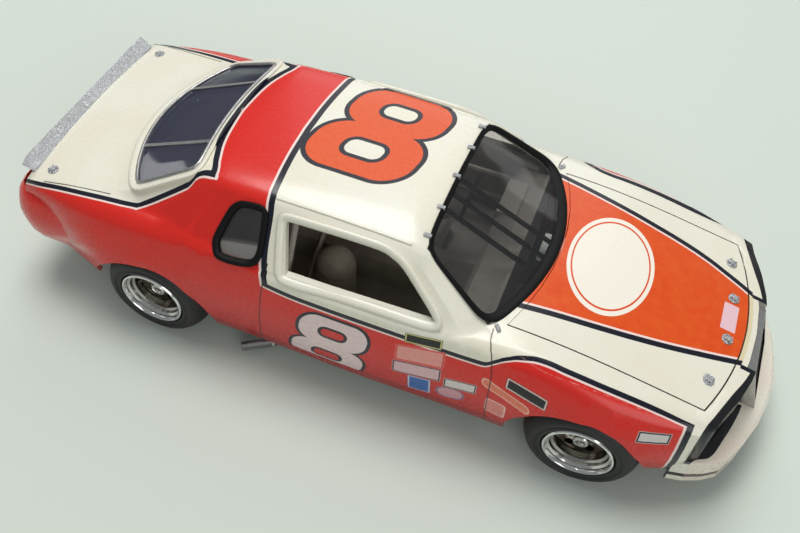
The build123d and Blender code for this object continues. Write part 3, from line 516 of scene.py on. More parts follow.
# %% [markdown]
# The nose is moulded like the rest, so it needs only paint: a dark recess round each lamp cover, a
# line on each side of the grille, and a bumper with a pinkish stain. A straight cut would miss the
# bow of the nose, so the recess is a band between two curves across it.

# %% The nose
# distance from the middle, x where the header ends above the dark lamp recess
LAMP_EDGE = [(11, 92.2), (14.9, 90.9), (19.1, 89.1), (27.4, 85.8), (31, 84.4), (36, 83.4)]
# distance from the middle, x where the recess ends on the bumper's top
BUMPER_EDGE = [(10, 95.2), (14.9, 94.3), (22.6, 92.1), (28.4, 89.9), (30.9, 86.4), (34, 84.6)]
RECESS_MIDDLE, RECESS_HALF, RECESS_LOW = 22.3, 11.3, 16.0
STRIP_Z, STRIP_HALF, STRIP_Y = 10.4, 0.75, 24.0
STAIN_X, STAIN_TOP = 86.0, 17.2
GRILLE_LINE_Y, GRILLE_LINE_HALF, GRILLE_LINE_X, GRILLE_LINE_LOW = 11.2, 0.6, 89.6, 17.0


def nose(paint, painted):
    """Dark strip, stained bumper, and the lines and shade round the lamps and grille."""
    x, z, out = paint.x, paint.z, abs(paint.y)
    strip = (z - STRIP_Z).within(STRIP_HALF) * x.above(SIDE_END_X) * out.above(STRIP_Y)
    painted = paint.mix(strip, painted, DARK)
    pinkish = (paint.noise(paint.where, 0.07) * 2.4 - 0.9).math("MULTIPLY", 0.3, clamp=True)
    painted = paint.mix(x.above(STAIN_X) * (STAIN_TOP - z).above(0.0) * pinkish, painted, STAIN_PINK)
    grille_line = (out - GRILLE_LINE_Y).within(GRILLE_LINE_HALF) * x.above(GRILLE_LINE_X)
    painted = paint.mix(grille_line * z.above(GRILLE_LINE_LOW), painted, NAVY)
    recess = (x - paint.follow(out, LAMP_EDGE)).above(0.2) * (paint.follow(out, BUMPER_EDGE) - x).above(0.0)
    recess = recess * (out - RECESS_MIDDLE).within(RECESS_HALF) * z.above(RECESS_LOW)
    return paint.mix(recess, painted, DARK)


print("lamp recess:", len(LAMP_EDGE) + len(BUMPER_EDGE), "points")

# %% [markdown]
# Marks go on last, as on a model that has been handled: a pale streak, specks and a little grime
# low down, and with them a painted highlight along the fender's crease. Each is noise that is let
# through only near one place, because marks that lay everywhere would look like a pattern.

# %% The crease highlight and specks, and the whole paint
# x, g of the fender's crease, where a highlight is painted
FENDER_CREASE = [(38, 49.0), (40.3, 49.3), (48.6, 51.9), (58.4, 52.3), (73.1, 54.0), (80, 55.2)]
CREASE_HALF, CREASE_MIDDLE_X, CREASE_HALF_X = 0.15, 57.0, 17.0
STREAK_X, STREAK_Z, STREAK_SLOPE, STREAK_HALF, STREAK_HALF_X = -82.0, 21.5, 0.4, 1.3, 9.0
DECK_SPECKS_X, DECK_SPECKS_G = -60.0, 40.0
GRIME_TOP, GRIME_OVER = 12.0, 14.0


def smudge(paint, painted):
    """A pale rubbed streak low on the right rear quarter."""
    along = paint.x - STREAK_X
    streak = (paint.z - STREAK_Z - along * STREAK_SLOPE).within(STREAK_HALF, 2.0)
    streak = streak * along.within(STREAK_HALF_X, 6.0) * paint.y.math("LESS_THAN", -25.0)
    return paint.mix(streak * paint.noise(paint.where, 0.25, detail=3.0) * 0.9, painted, RUBBED_PINK)


def sheen_and_specks(paint, painted):
    """A painted highlight along the fender's crease, and brown specks on the deck."""
    # painted highlight: a pale line along the fender's crease, broken up by noise
    crease = (paint.g - paint.follow(paint.x, FENDER_CREASE)).within(CREASE_HALF, 0.3)
    patchy = paint.noise(paint.where, 0.7, detail=5.0).above(0.52, 0.16)
    crease = crease * (paint.x - CREASE_MIDDLE_X).within(CREASE_HALF_X, 6.0) * patchy
    painted = paint.mix(crease * 0.5, painted, CREASE_HIGHLIGHT_PINK)
    specks = paint.noise(paint.where, 0.7, detail=4.0, roughness=0.7).above(0.745, 0.03)
    specks = specks * (DECK_SPECKS_X - paint.x).above(0.0) * paint.g.math("LESS_THAN", DECK_SPECKS_G)
    return paint.mix(specks * 0.5, painted, SPECK_BROWN)


LAYERS = (red_sides, hood_panel, numerals, plates, smudge, nose, sheen_and_specks)


def livery():
    """The whole paint: layer over layer, then seams, grime, gloss and a faint orange peel."""
    paint = Finish("livery_paint", roughness=0.5, coat_weight=0.3, coat_roughness=0.14)
    paint.shader.inputs["Specular IOR Level"].default_value = 0.3
    paint.where, paint.x, paint.y, paint.z = paint.millimetres()
    paint.g = abs(paint.y) - paint.z + ROOF_TOP
    paint.fine = paint.noise(paint.where, 0.9, detail=5.0)
    paint.on_side = abs(paint.y).above(SIDE_Y) * (SIDE_TOP - paint.z).above(0.0)
    painted = aged_cream(paint)
    for layer in LAYERS:
        painted = layer(paint, painted)
    lines = seam_lines(paint)
    painted = paint.mix(lines * 0.85, painted, SEAM_BROWN)
    grime = paint.noise(paint.where, 0.12, detail=5.0)
    low_grime = ((GRIME_TOP - paint.z) / GRIME_OVER + grime * 0.8 - 0.5).math("MULTIPLY", 0.3, clamp=True)
    paint.set(base_color=paint.mix(low_grime, painted, GRIME), roughness=paint.fine * 0.16 + 0.2)
    orange_peel = paint.noise(paint.where, 0.55, detail=2.0)
    paint.set(normal=paint.bump(orange_peel * 0.008 - lines * 0.25, MM))
    return paint.material


LIVERY = livery()
print("livery nodes:", len(LIVERY.node_tree.nodes))

# %% [markdown]
# The other finishes: soft black plastic, rubber, plated chrome, bare metal foil and clear styrene.
# Each has its own grain, so that light breaks on it as on the real one. A flat colour would do from
# afar, but a drift between two shades and an uneven gloss are what make it read as a material.


# %% Plastics, metals, rubber and glass
def plain(name, low, high, grain, rough, bump=0.00004, **settings):
    """A finish whose colour and gloss drift between two shades."""
    finish = Finish(name, **settings)
    where = finish.millimetres()[0]
    drift = finish.noise(where, grain, detail=5.0)
    fleck = finish.noise(where, grain * 9.0, detail=3.0)
    finish.set(base_color=finish.mix(drift, low, high))
    finish.set(roughness=fleck * rough[1] + rough[0])
    finish.set(normal=finish.bump(fleck, bump))
    return finish.material


# two shades, grain, and the gloss as a least roughness and its spread
BLACK = plain("satin_black_plastic", colour(10, 10, 11), colour(20, 19, 19), 0.3, (0.45, 0.2), ior=1.25)
# painted light: the cabin is painted a much lighter grey than its plastic, since little lamp light reaches
# inside
LIGHTENED_CABIN_GREY = plain("cabin_grey", colour(150, 144, 132), colour(188, 180, 166), 0.25, (0.5, 0.3))
CHASSIS_BLACK = plain("chassis_paint", colour(30, 30, 32), colour(54, 52, 50), 0.2, (0.4, 0.3))
RUBBER = plain("tyre_rubber", colour(14, 14, 14), colour(27, 26, 26), 0.3, (0.4, 0.25), 0.00003)
BOTTLE = plain("grey_bottle", colour(148, 142, 126), colour(188, 178, 158), 0.5, (0.5, 0.2))
steel_shades = colour(150, 150, 150), colour(198, 196, 192)
foil_shades = colour(150, 152, 154), colour(232, 234, 236)
STEEL = plain("bare_steel", *steel_shades, 0.4, (0.2, 0.2), metallic=0.9)
FOIL = plain("silver_foil", *foil_shades, 1.2, (0.2, 0.3), 0.0002, metallic=0.9)
ENGINE = plain("engine_paint", colour(122, 122, 124), colour(160, 160, 162), 0.3, (0.35, 0.2), metallic=0.5)
print("finishes so far:", len(bpy.data.materials))

# %% [markdown]
# Two metals need more than that. The grille is brushed, so its noise is drawn out upwards. The
# wheels are plated, and inside the lip the plating is painted a darker brown as painted shade. A
# second material could be painted on there, but the depth below the lip can be measured from the
# place alone, so one finish does both.

# %% Grille silver and wheel chrome
# the black face behind the bars: half width, middle height, half height, and where it starts
FACE_HALF, FACE_Z, FACE_HALF_Z, FACE_X = 9.7, 20.2, 2.9, 92.0
BRUSHED = (0.3, 4.0, 0.3)
AXLES = {"front": 60.4, "rear": -56.0}
AXLE_Z = 14.7
LIP_Y, CAP_RADIUS = 37.9, 2.2


def grille_finish():
    """Brushed silver surround with a black face inside a silver rim."""
    metal = Finish("grille_silver", metallic=0.9)
    where, x, y, z = metal.millimetres()
    stretched = metal.node("ShaderNodeVectorMath", {"operation": "MULTIPLY"}, {0: where, 1: BRUSHED})
    brushed = metal.noise(stretched, 1.0)
    silver = metal.mix(brushed, colour(150, 150, 148), colour(226, 225, 220))
    face = (z - FACE_Z).within(FACE_HALF_Z) * (FACE_HALF - abs(y)).above(0.0) * x.above(FACE_X)
    metal.set(base_color=metal.mix(face, silver, colour(12, 12, 13)), roughness=brushed * 0.2 + 0.25)
    return metal.material


def wheel_chrome():
    """Plating painted a darker brown inside the dish as painted shade, and bright on the lip."""
    chrome = Finish("plated_chrome", metallic=1.0)
    where, x, y, z = chrome.millimetres()
    mid_axle, half_base = (AXLES["front"] + AXLES["rear"]) / 2, (AXLES["front"] - AXLES["rear"]) / 2
    along, upward = abs(x - mid_axle) - half_base, z - AXLE_Z
    radius = (along * along + upward * upward).math("POWER", 0.5)
    # painted shade: the plating is painted a darker brown the further it lies inside the lip
    dish_shade = (LIP_Y - abs(y)).math("MULTIPLY", 0.36, clamp=True)
    film = chrome.noise(where, 0.5, detail=4.0)
    dish_shade_colour = chrome.mix(film, colour(96, 88, 78), colour(140, 134, 126))
    tone = chrome.mix(dish_shade, colour(226, 226, 224), dish_shade_colour)
    centre = (CAP_RADIUS - radius).above(0.0, 0.2)
    tone = chrome.mix(centre, tone, colour(206, 204, 200))
    chrome.set(base_color=tone, roughness=film * 0.1 + 0.09)
    return chrome.material


GRILLE, CHROME = grille_finish(), wheel_chrome()
print("axles at x", AXLES["front"], "and", AXLES["rear"])

# %% [markdown]
# The model's windows are thin tinted sheets. A refracting shader would darken the cabin twice, so
# the glass is a dark glossy skin whose Alpha says how much it hides, with a high IOR for its shine.


# %% Clear styrene
def clear(name, tint, body, reflection_below=0.0):
    """Tinted styrene sheet: how much it hides, dust, and a pale painted reflection below some height."""
    finish = Finish(name, ior=2.3)
    where, x, _, z = finish.millimetres()
    dust = finish.noise(where, 0.8, detail=6.0)
    dusty = dust.above(0.72, 0.1)
    # painted reflection: low on the glass a pale grey shows, and the glass hides more
    painted_reflection = (reflection_below - z + (x + 30.0) * 0.15).above(0.0, 0.5)
    hue = finish.mix(dusty * 0.5, tint, DUST)
    finish.set(base_color=finish.mix(painted_reflection * 0.8, hue, REFLECTION_GREY))
    finish.set(alpha=dusty * 0.2 + painted_reflection * 0.3 + body, roughness=dust * 0.08 + 0.02)
    return finish.material


DUST, REFLECTION_GREY = colour(150, 150, 150), colour(150, 146, 140)
GLASS = clear("smoked_glass", colour(30, 30, 29), 0.32)
REAR_GLASS = clear("blue_rear_glass", colour(22, 28, 62), 0.62)
# the side glass carries a painted reflection low down
SIDE_GLASS = clear("hazy_side_glass", colour(26, 26, 26), 0.4, 41.6)
print("materials:", len(bpy.data.materials))

# %% [markdown]
# CAD meshes arrive as loose triangles with a facet on every face. A copy is welded and shaded
# smooth wherever two faces meet at a small angle, which gives the rounded look of moulded plastic.
# A bevel would do so too, but this way no point moves and no gap opens between the pieces.


# %% Welded copies of the CAD nodes
WELD = 0.003 * MM


def placed(name, mesh, material, slot, body, smooth_below, stands_for):
    """A finished mesh as a piece: finish, soft edges, body and the nodes it stands for; slot is not used."""
    mesh.materials.clear()
    mesh.materials.append(material)
    mesh.shade_smooth()
    mesh.set_sharp_from_angle(angle=math.radians(smooth_below))
    piece = stand(name, mesh)
    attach(piece, body)
    for node in stands_for:
        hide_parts(node)
    return piece


def dressed(node, material, slot, smooth_below):
    """A smooth copy of a CAD node that stands for it."""
    source = frame["nodes"][node]
    mesh = source.data.copy()
    mesh.name = node + "_finished"
    cage = bmesh.new()
    cage.from_mesh(mesh)
    bmesh.ops.remove_doubles(cage, verts=cage.verts, dist=WELD)
    cage.to_mesh(mesh)
    cage.free()
    return placed(node + "_finished", mesh, material, slot, source["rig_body"], smooth_below, [node])


# node: finish, the record's slot, and the angle up to which faces blend
DRESSES = {
    "body_shell": (LIVERY, "paint", 24),
    "hood": (LIVERY, "paint", 24),
    "nose_header": (LIVERY, "paint", 24),
    "front_bumper": (LIVERY, "paint", 24),
    "grille_surround": (GRILLE, "bright", 20),
    "lamp_panels": (BLACK, "black", 20),
    "windscreen": (GLASS, "glass", 24),
    "rear_window": (REAR_GLASS, "glass", 24),
    "quarter_windows": (SIDE_GLASS, "glass", 24),
    "windscreen_braces": (BLACK, "black", 24),
    "rear_window_straps": (STEEL, "bright", 24),
    "windscreen_clips": (FOIL, "bright", 24),
    "chassis_pan": (CHASSIS_BLACK, "black", 24),
    "interior_tub": (LIGHTENED_CABIN_GREY, "black", 24),
    "seat": (LIGHTENED_CABIN_GREY, "black", 30),
    "dashboard": (LIGHTENED_CABIN_GREY, "black", 24),
    "steering_wheel": (BLACK, "black", 40),
    "roll_cage": (LIGHTENED_CABIN_GREY, "black", 40),
    "front_frame": (CHASSIS_BLACK, "black", 24),
    "rear_frame": (CHASSIS_BLACK, "black", 24),
    "engine_block": (ENGINE, "grey", 24),
    "driveline": (ENGINE, "grey", 40),
    "rear_axle": (CHASSIS_BLACK, "black", 40),
    "rear_springs": (STEEL, "bright", 40),
    "trailing_arms": (CHASSIS_BLACK, "black", 40),
    "front_suspension": (CHASSIS_BLACK, "black", 40),
    "front_knuckles": (STEEL, "bright", 40),
    "exhaust_pipes": (STEEL, "bright", 40),
    "fuel_cell": (LIGHTENED_CABIN_GREY, "black", 24),
    "radiator": (CHASSIS_BLACK, "black", 24),
    "grille": (LIGHTENED_CABIN_GREY, "black", 20),
}
for node, (material, slot, angle) in DRESSES.items():
    dressed(node, material, slot, angle)
print("dressed nodes:", len(DRESSES))

# %% [markdown]
# Wheels are turned as on a lathe: a section of radius and depth goes round the axle. A Screw
# modifier turns a section too, but here each wheel needs an axle of its own, so a helper makes the
# rings of faces and is told by a function where each point lies.


# %% Turned and flat pieces
def piece_from(name, cage, material, slot, body, smooth_below, stands_for=()):
    """Turns a bmesh into a finished piece, with its faces outwards."""
    bmesh.ops.recalc_face_normals(cage, faces=cage.faces)
    mesh = bpy.data.meshes.new(name)
    cage.to_mesh(mesh)
    cage.free()
    return placed(name, mesh, material, slot, body, smooth_below, stands_for)


def turn_into(cage, section, count, place):
    """Adds a ring of faces for a closed section of (radius, depth); place gives each point."""
    rings = []
    for step in range(count):
        angle = 2 * math.pi * step / count
        rings.append([cage.verts.new(place(radius, depth, angle)) for radius, depth in section])
    size = len(section)
    for step in range(count):
        here, after = rings[step], rings[(step + 1) % count]
        for k in range(size):
            cage.faces.new((here[k], here[(k + 1) % size], after[(k + 1) % size], after[k]))


print("lathe ready")

# %% [markdown]
# The tyre has a soft shoulder and bare sidewalls. The rim has a lip, a stepped dish and a centre
# with five round openings, behind which a black disc is painted shade. A boolean cut would leave long
# thin faces there, so the circles come first and the space between them is filled with triangles.

# %% Tyres and rims
# radius, distance from the car's middle
TYRE_SECTION = [
    (9.0, 38.2), (9.3, 38.7), (10.0, 38.85), (10.3, 38.6), (10.6, 38.6), (10.9, 38.85), (11.6, 38.85),
    (12.2, 38.55), (12.8, 37.95), (13.4, 37.1), (13.9, 36.2), (14.3, 35.2), (14.55, 34.3), (14.68, 33.2),
    (14.68, 29.2), (14.5, 28.2), (14.1, 27.4), (13.4, 26.95), (12.0, 26.9), (9.0, 26.9),
]
RIM_SECTION = [
    (8.88, 29.8), (8.88, 38.5), (8.7, 38.8), (8.3, 38.85), (8.05, 38.5), (7.95, 37.6), (7.6, 37.3),
    (7.4, 37.15), (7.2, 36.4), (6.8, 36.15), (6.6, 36.0), (6.45, 35.0), (6.2, 34.6), (6.1, 34.1), (6.1, 29.8),
]
HUB_SECTION = [(0.95, 33.6), (2.0, 33.6), (2.0, 35.3), (1.8, 35.6), (1.25, 35.65), (1.1, 35.3), (0.95, 34.6)]
# the back is a black disc inside the rim: painted shade seen through the openings
BACK_SECTION = [(1.3, 30.2), (6.05, 30.2), (6.05, 31.0), (1.3, 31.0)]
WINDOW_COUNT, WINDOW_AT, WINDOW_RADIUS = 5, 4.25, 1.2
DISC_OUTER, DISC_INNER, DISC_FACE_Y, DISC_DEPTH = 6.12, 0.95, 34.0, 1.0
# points round the disc, its middle hole and each window, and round tyre, rim, hub and back
DISC_SIDES, HOLE_SIDES = 64, 24
TYRE_SIDES, RIM_SIDES, HUB_SIDES, BACK_SIDES = 96, 80, 32, 48


def wheel_place(end, sign):
    def place(radius, depth, angle):
        x = AXLES[end] + radius * math.cos(angle)
        return Vector((x, sign * depth, AXLE_Z + radius * math.sin(angle))) * MM
    return place


def pierced_disc(cage, end, sign):
    """The rim's centre: a flat disc with round openings, and the walls of those openings."""
    centre = Vector((AXLES[end], 0, AXLE_Z))
    circles = [(0.0, 0.0, DISC_OUTER, DISC_SIDES), (0.0, 0.0, DISC_INNER, HOLE_SIDES)]
    for k in range(WINDOW_COUNT):
        angle = 2 * math.pi * (k + 0.25) / WINDOW_COUNT
        along, upward = WINDOW_AT * math.cos(angle), WINDOW_AT * math.sin(angle)
        circles.append((along, upward, WINDOW_RADIUS, HOLE_SIDES))
    edges = []
    for along, upward, radius, count in circles:
        front, back = [], []
        for step in range(count):
            angle = 2 * math.pi * step / count
            x, z = along + radius * math.cos(angle), upward + radius * math.sin(angle)
            front.append(cage.verts.new((centre + Vector((x, sign * DISC_FACE_Y, z))) * MM))
            back.append(cage.verts.new((centre + Vector((x, sign * (DISC_FACE_Y - DISC_DEPTH), z))) * MM))
        edges += [cage.edges.new((front[k], front[(k + 1) % count])) for k in range(count)]
        if radius == WINDOW_RADIUS:
            for k in range(count):
                after = (k + 1) % count
                cage.faces.new((front[k], front[after], back[after], back[k]))
    bmesh.ops.triangle_fill(cage, edges=edges, use_beauty=True)


CORNERS = [(end, side, sign) for end in ("front", "rear") for side, sign in (("left", 1), ("right", -1))]
for end, side, sign in CORNERS:
    body = f"wheel_{end}_{side}"
    place = wheel_place(end, sign)
    cage = bmesh.new()
    turn_into(cage, TYRE_SECTION, TYRE_SIDES, place)
    piece_from(f"tyre_{end}_{side}_finished", cage, RUBBER, "tyre", body, 35, [f"tyre_{end}_{side}"])
    cage = bmesh.new()
    turn_into(cage, RIM_SECTION, RIM_SIDES, place)
    turn_into(cage, HUB_SECTION, HUB_SIDES, place)
    pierced_disc(cage, end, sign)
    piece_from(f"rim_{end}_{side}_finished", cage, CHROME, "chrome", body, 30, [f"rim_{end}_{side}"])
    # painted shade: a black disc behind the rim's openings
    cage = bmesh.new()
    turn_into(cage, BACK_SECTION, BACK_SIDES, place)
    piece_from(f"wheel_back_{end}_{side}", cage, BLACK, "black", body, 30)
print("turned wheels:", len(CORNERS))

# %% [markdown]
# The bottle on the cabin's floor is turned too. Its ribbed wall and round dome could be two pieces,
# but as one section they have no seam between them.

# %% Bottle on the cabin floor
BOTTLE_AT = Vector((-13.0, -15.0, 0.0))
BOTTLE_FOOT, BOTTLE_TOP, BOTTLE_RADIUS = 9.75, 28.9, 5.35
BOTTLE_EDGE, BOTTLE_TIP = 0.3, 0.02
RIB_DEPTH, RIB_STEP, RIB_STEPS, DOME_STEPS, BOTTLE_SIDES = 0.12, 0.45, 30, 12, 56


def bottle_place(radius, depth, angle):
    return (BOTTLE_AT + Vector((radius * math.cos(angle), radius * math.sin(angle), depth))) * MM


section = [(BOTTLE_TIP, BOTTLE_FOOT), (BOTTLE_RADIUS - BOTTLE_EDGE, BOTTLE_FOOT)]
for step in range(RIB_STEPS):
    rib = RIB_DEPTH * (1 + math.cos(step * math.pi / 2))
    section.append((BOTTLE_RADIUS - rib, BOTTLE_FOOT + BOTTLE_EDGE + step * RIB_STEP))
dome_foot = section[-1][1]
for step in range(1, DOME_STEPS + 1):
    angle = step / DOME_STEPS * math.pi / 2
    dome_radius = max(BOTTLE_TIP, BOTTLE_RADIUS * math.cos(angle))
    section.append((dome_radius, dome_foot + (BOTTLE_TOP - dome_foot) * math.sin(angle)))
cage = bmesh.new()
turn_into(cage, section, BOTTLE_SIDES, bottle_place)
piece_from("cabin_bottle_finished", cage, BOTTLE, "grey", "car", 50, ["cabin_bottle"])
print("bottle section:", len(section), "points")

# %% [markdown]
# The spoiler is a strip of foil cut and bent by hand. It could be sculpted, but three sine waves
# give dents that are the same at every run. They move a flat grid that follows the bend, one end
# droops, and the grid then gets a wall.

# %% Foil spoiler, creased by hand
FOIL_FOOT, FOIL_TIP = (-92.35, 38.0), (-95.7, 40.75)
FOIL_HALF, FOIL_WALL = 28.5, 0.3
FOLD_START, FOLD_LENGTH, FOLD_SHARE = 25.6, 2.9, 0.45
# height and how fast each dent wave turns, in millimetres and radians a millimetre, and its start
DENTS = [(0.10, 0.55, 0.0), (0.08, 1.3, 1.0), (0.05, 3.1, 0.0)]
# how much of a dent shows along the car and upwards, and how far the free edge sags
DENT_ALONG, DENT_UP, SAG = 0.7, 0.5, 0.25
ALONG, ACROSS = 90, 5


def foil_point(i, j):
    y = -FOIL_HALF + 2 * FOIL_HALF * i / ALONG
    t = j / ACROSS
    wave = sum(size * math.sin(y * speed + start) for size, speed, start in DENTS)
    fold = max(0.0, (-y - FOLD_START) / FOLD_LENGTH)
    rise = (FOIL_TIP[1] - FOIL_FOOT[1]) * t * (1 - FOLD_SHARE * fold)
    x = FOIL_FOOT[0] + (FOIL_TIP[0] - FOIL_FOOT[0]) * t + wave * t * DENT_ALONG
    z = FOIL_FOOT[1] + rise + wave * t * DENT_UP - SAG * t
    return Vector((x, y, z)) * MM


cage = bmesh.new()
grid = [[cage.verts.new(foil_point(i, j)) for j in range(ACROSS + 1)] for i in range(ALONG + 1)]
for i in range(ALONG):
    for j in range(ACROSS):
        cage.faces.new((grid[i][j], grid[i + 1][j], grid[i + 1][j + 1], grid[i][j + 1]))
bmesh.ops.recalc_face_normals(cage, faces=cage.faces)
bmesh.ops.solidify(cage, geom=cage.faces[:], thickness=FOIL_WALL * MM)
piece_from("spoiler_finished", cage, FOIL, "bright", "car", 60, ["spoiler"])
print("foil strip faces:", 2 * ALONG * ACROSS)

# %% [markdown]
# The rear bumper is a grid of points: an outline in plan from one flank round the tail to the
# other, and at each place the same rounded section, which sinks into the flank at both ends. A
# smoothed box would draw away from the flanks, while the grid keeps every point where it is put.

# %% Rear bumper, smooth at the corners
# x, distance from the middle
TAIL_PLAN = [
    (-80.0, 36.3), (-84.5, 35.75), (-89.0, 35.3), (-92.5, 34.85), (-95.5, 34.1), (-98.0, 32.7),
    (-99.8, 30.5), (-100.7, 27.2), (-101.2, 20.0), (-101.5, 10.0), (-101.6, 0.0),
]
# how far inside the outline, z
TAIL_SECTION = [
    (3.2, 33.6), (2.2, 32.6), (1.3, 31.0), (0.7, 29.2), (0.25, 27.4), (0.0, 25.4), (0.1, 23.0),
    (0.35, 20.8), (0.8, 18.8), (1.5, 17.2), (2.4, 16.1), (3.6, 15.7), (3.6, 16.6),
]
# how much deeper the ends sink into the flank, over how many places, and a step in all round
END_SINK, END_PLACES, SKIN_STEP = 1.4, 3.0, 0.25


def tail_point(index, inside, height):
    count = len(TAIL_PLAN)
    side = 1 if index < count else -1
    place = index if index < count else 2 * (count - 1) - index
    x, y = TAIL_PLAN[place]
    before, after = TAIL_PLAN[max(0, place - 1)], TAIL_PLAN[min(count - 1, place + 1)]
    run = Vector((after[0] - before[0], after[1] - before[1])).normalized()
    if place == count - 1:
        run = Vector((0.0, -1.0))
    sunk = inside + END_SINK * max(0.0, 1.0 - place / END_PLACES) + SKIN_STEP
    return Vector((x - run.y * sunk, side * (y + run.x * sunk), height)) * MM


cage = bmesh.new()
stops = range(2 * len(TAIL_PLAN) - 1)
grid = [[cage.verts.new(tail_point(i, *place)) for place in TAIL_SECTION] for i in stops]
for row, after in zip(grid, grid[1:]):
    for k in range(len(TAIL_SECTION) - 1):
        cage.faces.new((row[k], row[k + 1], after[k + 1], after[k]))
bumper = piece_from("rear_bumper_finished", cage, LIVERY, "paint", "car", 60, ["rear_bumper"])
print("rear bumper faces:", len(bumper.data.polygons))

# %% [markdown]
# Window rubbers and trim lie on the seam between glass and body. Their paths are drawn flat, in
# plan for the screens and from the side for the quarter windows, and dropped on to the surface.
# Geometry Nodes then sweep a small oval along each path, so one tree makes every rubber.

# %% A surface to drop paths on
SURFACE_NODES = ["body_shell", "windscreen", "rear_window", "quarter_windows", "hood", "nose_header"]


def surface(nodes):
    points, faces = [], []
    for node in nodes:
        mesh = frame["nodes"][node].data
        start = len(points)
        points += [vertex.co.copy() for vertex in mesh.vertices]
        faces += [[start + index for index in face.vertices] for face in mesh.polygons]
    return BVHTree.FromPolygons(points, faces)


SKIN = surface(SURFACE_NODES)
SEAM_REACH = 0.35


def drop(x, y, z, towards):
    """The skin below (x, y, z) millimetres along a direction, and its normal, seams bridged."""
    start, aim = Vector((x, y, z)) * MM, Vector(towards)
    aside = Vector((SEAM_REACH, 0, 0)) * MM
    across = aim.cross(aside)
    casts = [SKIN.ray_cast(start + step, aim) for step in (aside, -aside, across, -across)]
    _, normal, _, reach = min((cast for cast in casts if cast[0]), key=lambda cast: cast[3])
    return start + aim * reach, normal


def bow(start, middle, end, count):
    """Points of a bowed edge that passes its middle point, the last one left out."""
    curve = []
    for step in range(count):
        t = step / count
        weight = 2 * t * (1 - t)
        control = [2 * m - (s + e) / 2 for s, m, e in zip(start, middle, end)]
        curve.append([(1 - t) ** 2 * s + weight * c + t * t * e for s, c, e in zip(start, control, end)])
    return curve


print("skin of", len(SURFACE_NODES), "nodes")

# %% [markdown]
# The sweep tree turns a path of edges into a curve and draws an oval along it. Width, height and
# finish are its named inputs, and an attribute on each point says how thick the rubber is there.
# Two helpers start and end every tree here: the end makes copies real and sets the finish.


# %% The sweep tree
def started_tree(name, **inputs):
    """A tree with a Geometry, its own inputs of the given kinds, and a Finish."""
    tree = bpy.data.node_groups.new(name, "GeometryNodeTree")
    for socket, kind in {"Geometry": "Geometry", **inputs, "Finish": "Material"}.items():
        tree.interface.new_socket(socket, in_out="INPUT", socket_type="NodeSocket" + kind)
    tree.interface.new_socket("Geometry", in_out="OUTPUT", socket_type="NodeSocketGeometry")
    return tree, tree.nodes.new, tree.links.new, tree.nodes.new("NodeGroupInput")


def finished_tree(tree, made, inside):
    """The tree with its end: copies made real, and the finish set."""
    realize = tree.nodes.new("GeometryNodeRealizeInstances")
    finish = tree.nodes.new("GeometryNodeSetMaterial")
    tree.links.new(made, realize.inputs[0])
    tree.links.new(realize.outputs[0], finish.inputs["Geometry"])
    tree.links.new(inside.outputs["Finish"], finish.inputs["Material"])
    tree.links.new(finish.outputs[0], tree.nodes.new("NodeGroupOutput").inputs[0])
    return tree


def named_attribute(new, name, kind):
    node = new("GeometryNodeInputNamedAttribute")
    node.data_type = kind
    node.inputs["Name"].default_value = name
    return node.outputs["Attribute"]


OVAL_SIDES = 10


def sweep_tree():
    tree, new, link, inside = started_tree("swept_rubber", Width="Float", Height="Float")
    to_curve = new("GeometryNodeMeshToCurve")
    circle = new("GeometryNodeCurvePrimitiveCircle")
    circle.inputs["Resolution"].default_value = OVAL_SIDES
    circle.inputs["Radius"].default_value = 0.5
    size, squeeze = new("ShaderNodeCombineXYZ"), new("GeometryNodeTransform")
    sweep, smooth = new("GeometryNodeCurveToMesh"), new("GeometryNodeSetShadeSmooth")
    link(inside.outputs["Geometry"], to_curve.inputs[0])
    link(inside.outputs["Width"], size.inputs["X"])
    link(inside.outputs["Height"], size.inputs["Y"])
    size.inputs["Z"].default_value = 1.0
    link(circle.outputs["Curve"], squeeze.inputs["Geometry"])
    link(size.outputs[0], squeeze.inputs["Scale"])
    link(to_curve.outputs[0], sweep.inputs["Curve"])
    link(squeeze.outputs[0], sweep.inputs["Profile Curve"])
    link(named_attribute(new, "thick", "FLOAT"), sweep.inputs["Scale"])
    link(sweep.outputs[0], smooth.inputs[0])
    return finished_tree(tree, smooth.outputs[0], inside)


SWEEP = sweep_tree()


def realized(name, mesh, tree, settings, slot, body):
    """Runs a Geometry Nodes tree on a mesh and keeps its result as one plain mesh."""
    carrier = stand(name, mesh)
    modifier = carrier.modifiers.new("made", "NODES")
    modifier.node_group = tree
    for item in tree.interface.items_tree:
        if item.in_out == "INPUT" and item.name in settings:
            modifier[item.identifier] = settings[item.name]
    bpy.context.view_layer.update()
    graph = bpy.context.evaluated_depsgraph_get()
    made = bpy.data.meshes.new_from_object(carrier.evaluated_get(graph))
    carrier.modifiers.clear()
    carrier.data = made
    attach(carrier, body)
    return carrier


def path_mesh(name, paths, closed=True, thickness=None):
    """Paths of points as a mesh of edges, each point with its share of the full thickness."""
    points, edges = [], []
    for path in paths:
        start, count = len(points), len(path)
        points += path
        edges += [(start + i, start + (i + 1) % count) for i in range(count if closed else count - 1)]
    mesh = bpy.data.meshes.new(name)
    mesh.from_pydata([tuple(p) for p in points], edges, [])
    thick = mesh.attributes.new("thick", "FLOAT", "POINT")
    for index, point in enumerate(points):
        thick.data[index].value = thickness(point) if thickness else 1.0
    return mesh


print("sweep nodes:", len(SWEEP.nodes))

# %% [markdown]
# Each outline needs only a few places: the corners of a screen and the middles of its bowed edges,
# or the corners of a side window. The path between them is dropped on to the body, sunk a little so
# that the rubber grows out of it, and its corners are softened.

